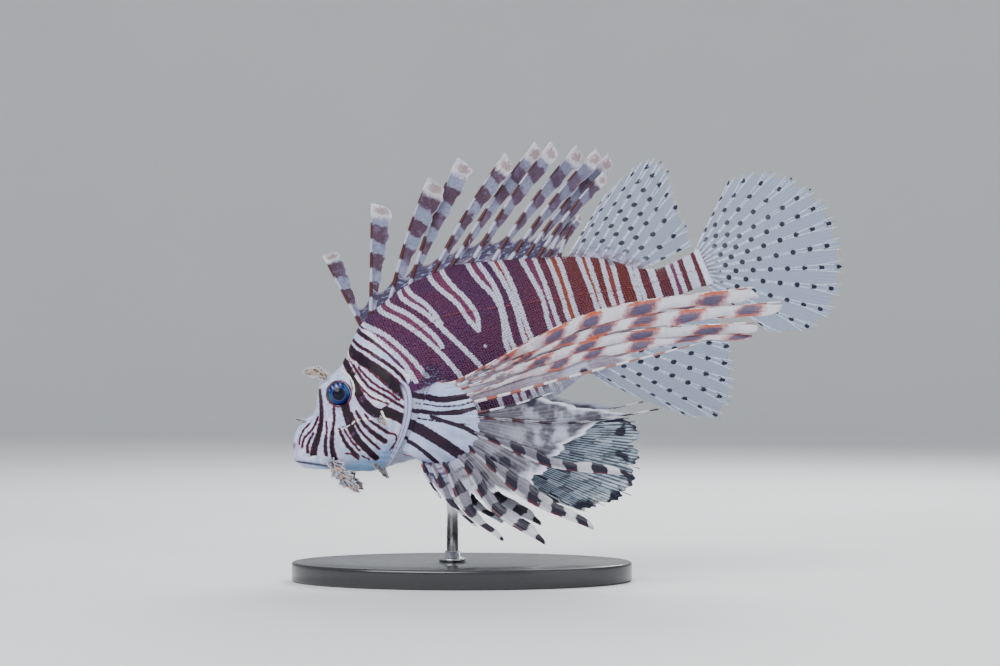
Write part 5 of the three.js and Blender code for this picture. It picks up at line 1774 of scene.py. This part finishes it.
def tab_finish(name, light, dark, cover):
    """Thin ragged skin: pale veins and edges over dark and brown speckles."""
    paint = Paint(name, 0.5, 0.3, 0.2)
    grain, fine = paint.noise(1.0, 4), paint.noise(0.4, 3)
    across, along = paint.value("across"), paint.value("millimetres")
    speckle = (paint.cells(1.5) + (grain - 0.5) * 0.5).step(cover + 0.1, cover - 0.1)
    ground = paint.mix(grain, dimmed(light, 0.3), dimmed(light, 0.62))
    spot = paint.mix(paint.noise(3, 3).step(0.46, 0.6), dark, (0.36, 0.16, 0.05))
    shade = paint.mix(speckle, ground, spot)
    vein = (across * 14.0 - along * 1.3).sine()
    shade.over(vein.step(0.7, 1.0, 0.75), light)
    shade.over(across.step(0.86, 1.0, 0.85), WHITE)
    return paint.done(shade, (grain, 0.34, 0.5), (fine, 0.05), (vein, 0.08))


def make_tabs(side_name, side, brow, barbel):
    """The brow tentacle, the mouth barbel and the small tabs of nose, cheek and jaw of one side."""
    mirror = np.array([1, side, 1])
    for name, material, root, tip, bend, wide, flat, lobes, seed in (
        ("brow_tentacle_", brow, [31, 9, 26.2], [20.6, 10.4, 33.8], [0.4, 0.2, 1.4], 4.6,
         [0.55, 0, 0.84], 5, 3),
        ("mouth_barbel_", barbel, [15.8, 9.6, -13.4], [23.2, 14.4, -34.6], [-1.2, 0.5, 0.4], 7.4,
         [0.93, 0.1, 0.35], 6, 5),
    ):
        node = name + side_name
        root, tip, bend, flat = (np.array(place) * mirror for place in (root, tip, bend, flat))
        leaf, lines = make_leaf(node + "_leaf", root, tip, bend, wide, flat, lobes, seed)
        settle(leaf, material, [node])
        make_rods(node + "_threads", lines, material, 5)
    small, threads = [], []
    for seed, (name, root, tip, wide) in enumerate((
        ("nose_tab", (13, 8.5, -2), (6.5, 13.6, 0.4), 2.0),
        ("cheek_tab", (46.5, -1, -1), (50, -9, 2.4), 2.8),
        ("jaw_tab", (35, -22, -1.5), (38.8, -34.2, 3.4), 2.6),
    )):
        ends = [np.array([s, side * (float(skin_width(s, d)) + off), d]) for s, d, off in (root, tip)]
        flat = [0.8, 0.1 * side, 0.5]
        leaf, lines = make_leaf(name, *ends, [0, 0.6 * side, 0], wide, flat, 4, seed + 8)
        small.append(leaf)
        threads += lines
    settle(joined("face_tabs_" + side_name, small), barbel)
    make_rods("face_threads_" + side_name, threads, barbel, 5)


# Display stand
STAND = {"length": 176.0, "depth": 104.0, "height": 10.0, "bevel": 1.5, "groove": 0.35}
ROD = {"station": 75.0, "radius": 3.0, "collar": 7.0, "collar_height": 5.0, "foot": 10.3, "sunk": 2.5}


def turned(name, profile, sides, at=0.0):
    """A solid of oval rings round the vertical, each with its half length, half depth and height."""
    turn = np.linspace(0, 2 * np.pi, sides, endpoint=False)
    rings = [
        np.stack([at + long * np.cos(turn), deep * np.sin(turn), np.full(sides, height)], -1)
        for long, deep, height in profile
    ]
    points = np.concatenate(rings) * MILLIMETRE
    faces = grid_faces(len(profile), sides, True)
    faces += [list(range(sides))[::-1], list(range(len(points) - sides, len(points)))]
    return face_out(mesh_from(name, points, faces, place=as_given))


def rounded_edge(reach, height, bevel):
    """A quarter round at an upper edge, as radius and height."""
    turn = np.linspace(0, np.pi / 2, 6)
    return [(reach - bevel + bevel * math.cos(a), height - bevel + bevel * math.sin(a)) for a in turn]


def make_stand(base_finish, rod_finish):
    """The oval base and the rod with its collar."""
    half_length, half_depth, top = STAND["length"] / 2, STAND["depth"] / 2, STAND["height"]
    inset = [(1.2, 0.0), (0.0, 1.2)]
    inset += [(half_length - r, z) for r, z in rounded_edge(half_length, top, STAND["bevel"])]
    inset += [(4.0, top), (5.0, top - STAND["groove"]), (6.0, top), (26.0, top)]
    profile = [(half_length - back, half_depth - back, height) for back, height in inset]
    settle(turned("stand_base_oval", profile, 160), base_finish, ["stand_base"])
    radius, foot = ROD["radius"], ROD["foot"]
    at, _, belly = to_world([ROD["station"], 0, float(body_bottom(ROD["station"]))]) / MILLIMETRE
    collar = [(radius + 0.1, foot), (ROD["collar"], foot), *rounded_edge(ROD["collar"], foot + 1.5, 0.6)]
    collar += [(radius + 1.3, foot + 2.0), (radius + 0.9, foot + ROD["collar_height"])]
    shaft = [(radius, foot + 0.2), (radius, belly + ROD["sunk"])]
    pieces = [
        turned(name, [(r, r, z) for r, z in profile], sides, at)
        for name, profile, sides in (("collar", collar, 96), ("shaft", shaft, 48))
    ]
    settle(joined("stand_rod_turned", pieces), rod_finish, ["stand_rod"])


def base_finish():
    """Satin black lacquer with a faint orange-peel surface."""
    paint = Paint("black_lacquer", 0.5, 0.6, 0.08)
    grain, cloud = paint.noise(0.8, 2), paint.noise(40, 3)
    shade = paint.mix(cloud, (0.012, 0.012, 0.014), (0.022, 0.022, 0.026))
    return paint.done(shade, (cloud, 0.26, 0.36), (grain, 0.01))


def rod_finish():
    """Brushed steel, with fine rings round it."""
    paint = Paint("brushed_steel", 0.5, Metallic=1.0)
    rings = paint.noise(0.3, 3, stretch=(6.0, 6.0, 1.0))
    shade = paint.mix(rings, (0.48, 0.48, 0.5), (0.68, 0.68, 0.7))
    return paint.done(shade, (paint.noise(9, 3), 0.24, 0.34), (rings, 0.015))


# Floor, light and camera, in metres. Each light has its place, size and power.
FISH_MIDDLE = (0.04, 0.0, 0.1)
LIGHTS = [
    ("key", (-0.5, -1.0, 1.2), 1.1, 27),
    ("fill", (1.2, -1.0, 0.55), 1.2, 4.0),
    ("rim", (0.3, 0.8, 0.85), 0.7, 14),
]
CAMERA_PLACE = (0.0197, -1.293, 0.128)


def make_floor():
    """A round pale floor that curves up all round into a backdrop."""
    flat, curve, top, sides = 2.0, 1.2, 1.9, 128
    profile = [(1.0, 0.0), (flat, 0.0)]
    turn = np.linspace(0, np.pi / 2, 24)
    profile += [(flat + curve * math.sin(a), curve - curve * math.cos(a)) for a in turn[1:]]
    profile.append((flat + curve, top))
    turn = np.linspace(0, 2 * np.pi, sides, endpoint=False)
    points = [(r * math.cos(a), r * math.sin(a), z) for r, z in profile for a in turn]
    faces = [face[::-1] for face in grid_faces(len(profile), sides, True)]
    faces.append(list(range(sides)))
    floor = mesh_from("floor", points, faces, place=as_given)
    paint = Paint("pale_floor", 0.3)
    cloud = paint.noise(260, 3)
    shade = paint.mix(cloud, (0.78, 0.79, 0.8), (0.83, 0.84, 0.85))
    floor.data.materials.append(paint.done(shade, (cloud, 0.55, 0.68)))


def make_studio():
    """Soft square key, fill and rim lights that face the fish, and a pale surround."""
    for name, place, size, power in LIGHTS:
        light = bpy.data.lights.new(name, "AREA")
        light.size, light.energy = size, power
        made = put_in_scene(name, light)
        made.location = place
        made.rotation_euler = (Vector(FISH_MIDDLE) - Vector(place)).to_track_quat("-Z", "Y").to_euler()
    world = bpy.data.worlds.new("pale_surround")
    world.use_nodes = True
    background = world.node_tree.nodes["Background"]
    background.inputs["Color"].default_value = (0.8, 0.83, 0.88, 1)
    background.inputs["Strength"].default_value = 0.55
    bpy.context.scene.world = world


def make_camera():
    """A level camera on the fish's left side."""
    camera = bpy.data.cameras.new("camera")
    camera.lens, camera.sensor_width = 90, 36
    camera.clip_start, camera.clip_end = 0.05, 20
    made = put_in_scene("camera", camera)
    made.location = CAMERA_PLACE
    made.rotation_euler = (math.pi / 2, 0, 0)
    bpy.context.scene.camera = made


# The whole model
skin_paint = skin_finish()
settle(make_skin(), skin_paint, ["head", "torso", "tail"])
for scales in make_scales(scale_finish()):
    settle(scales, None)
make_dorsal_flags(flag_finish())
make_dorsal_spines(spine_finish())
make_dorsal_web(web_finish())
soft_ray = soft_ray_finish()
for name, node, fin, spot_from, tint in (
    ("soft_dorsal", "dorsal_fin_soft", SOFT_DORSAL, 8.0, (0.1, 0.19, 0.4)),
    ("caudal", "caudal_fin", CAUDAL, 12.0, (0.12, 0.23, 0.46)),
    ("anal", "anal_fin", ANAL, 10.0, (0.08, 0.18, 0.4)),
):
    make_median_fin(name, node, fin, clear_finish(name + "_membrane", spot_from, tint), soft_ray)
finishes = {
    "upper_vane": upper_vane_finish(),
    "lower_vane": lower_vane_finish(),
    "upper_web": fan_web_finish("cream_web", (0.4, 0.35, 0.43), (0.09, 0.055, 0.1), 0.92, 0.22),
    "lower_web": fan_web_finish("dusky_web", (0.15, 0.135, 0.18), (0.026, 0.022, 0.04), 0.86, 0.32),
    "lobe": lobe_finish(),
    "pelvic": pelvic_finish(),
}
for name, near_dark, far_dark, light, pitch in (
    ("upper_ray", (0.3, 0.07, 0.05), (0.32, 0.13, 0.1), (0.86, 0.82, 0.86), 13.0),
    ("lower_ray", (0.3, 0.05, 0.05), (0.02, 0.012, 0.03), (0.78, 0.8, 0.9), 15.0),
    ("pelvic_ray", (0.1, 0.06, 0.12), (0.03, 0.03, 0.06), (0.66, 0.74, 0.86), 16.0),
):
    finishes[name] = fin_ray_finish(name, near_dark, far_dark, light, pitch)
eye_paint = eye_finish()
brow_paint = tab_finish("brow_tab", (0.7, 0.6, 0.52), (0.07, 0.03, 0.02), 0.5)
barbel_paint = tab_finish("mouth_tab", (0.5, 0.52, 0.64), (0.02, 0.01, 0.025), 0.56)
for side_name, side in SIDES.items():
    make_paired_fins(side_name, side, finishes)
    make_eye(side_name, side, eye_paint)
    make_tabs(side_name, side, brow_paint, barbel_paint)
make_stand(base_finish(), rod_finish())
make_floor()
make_studio()
make_camera()
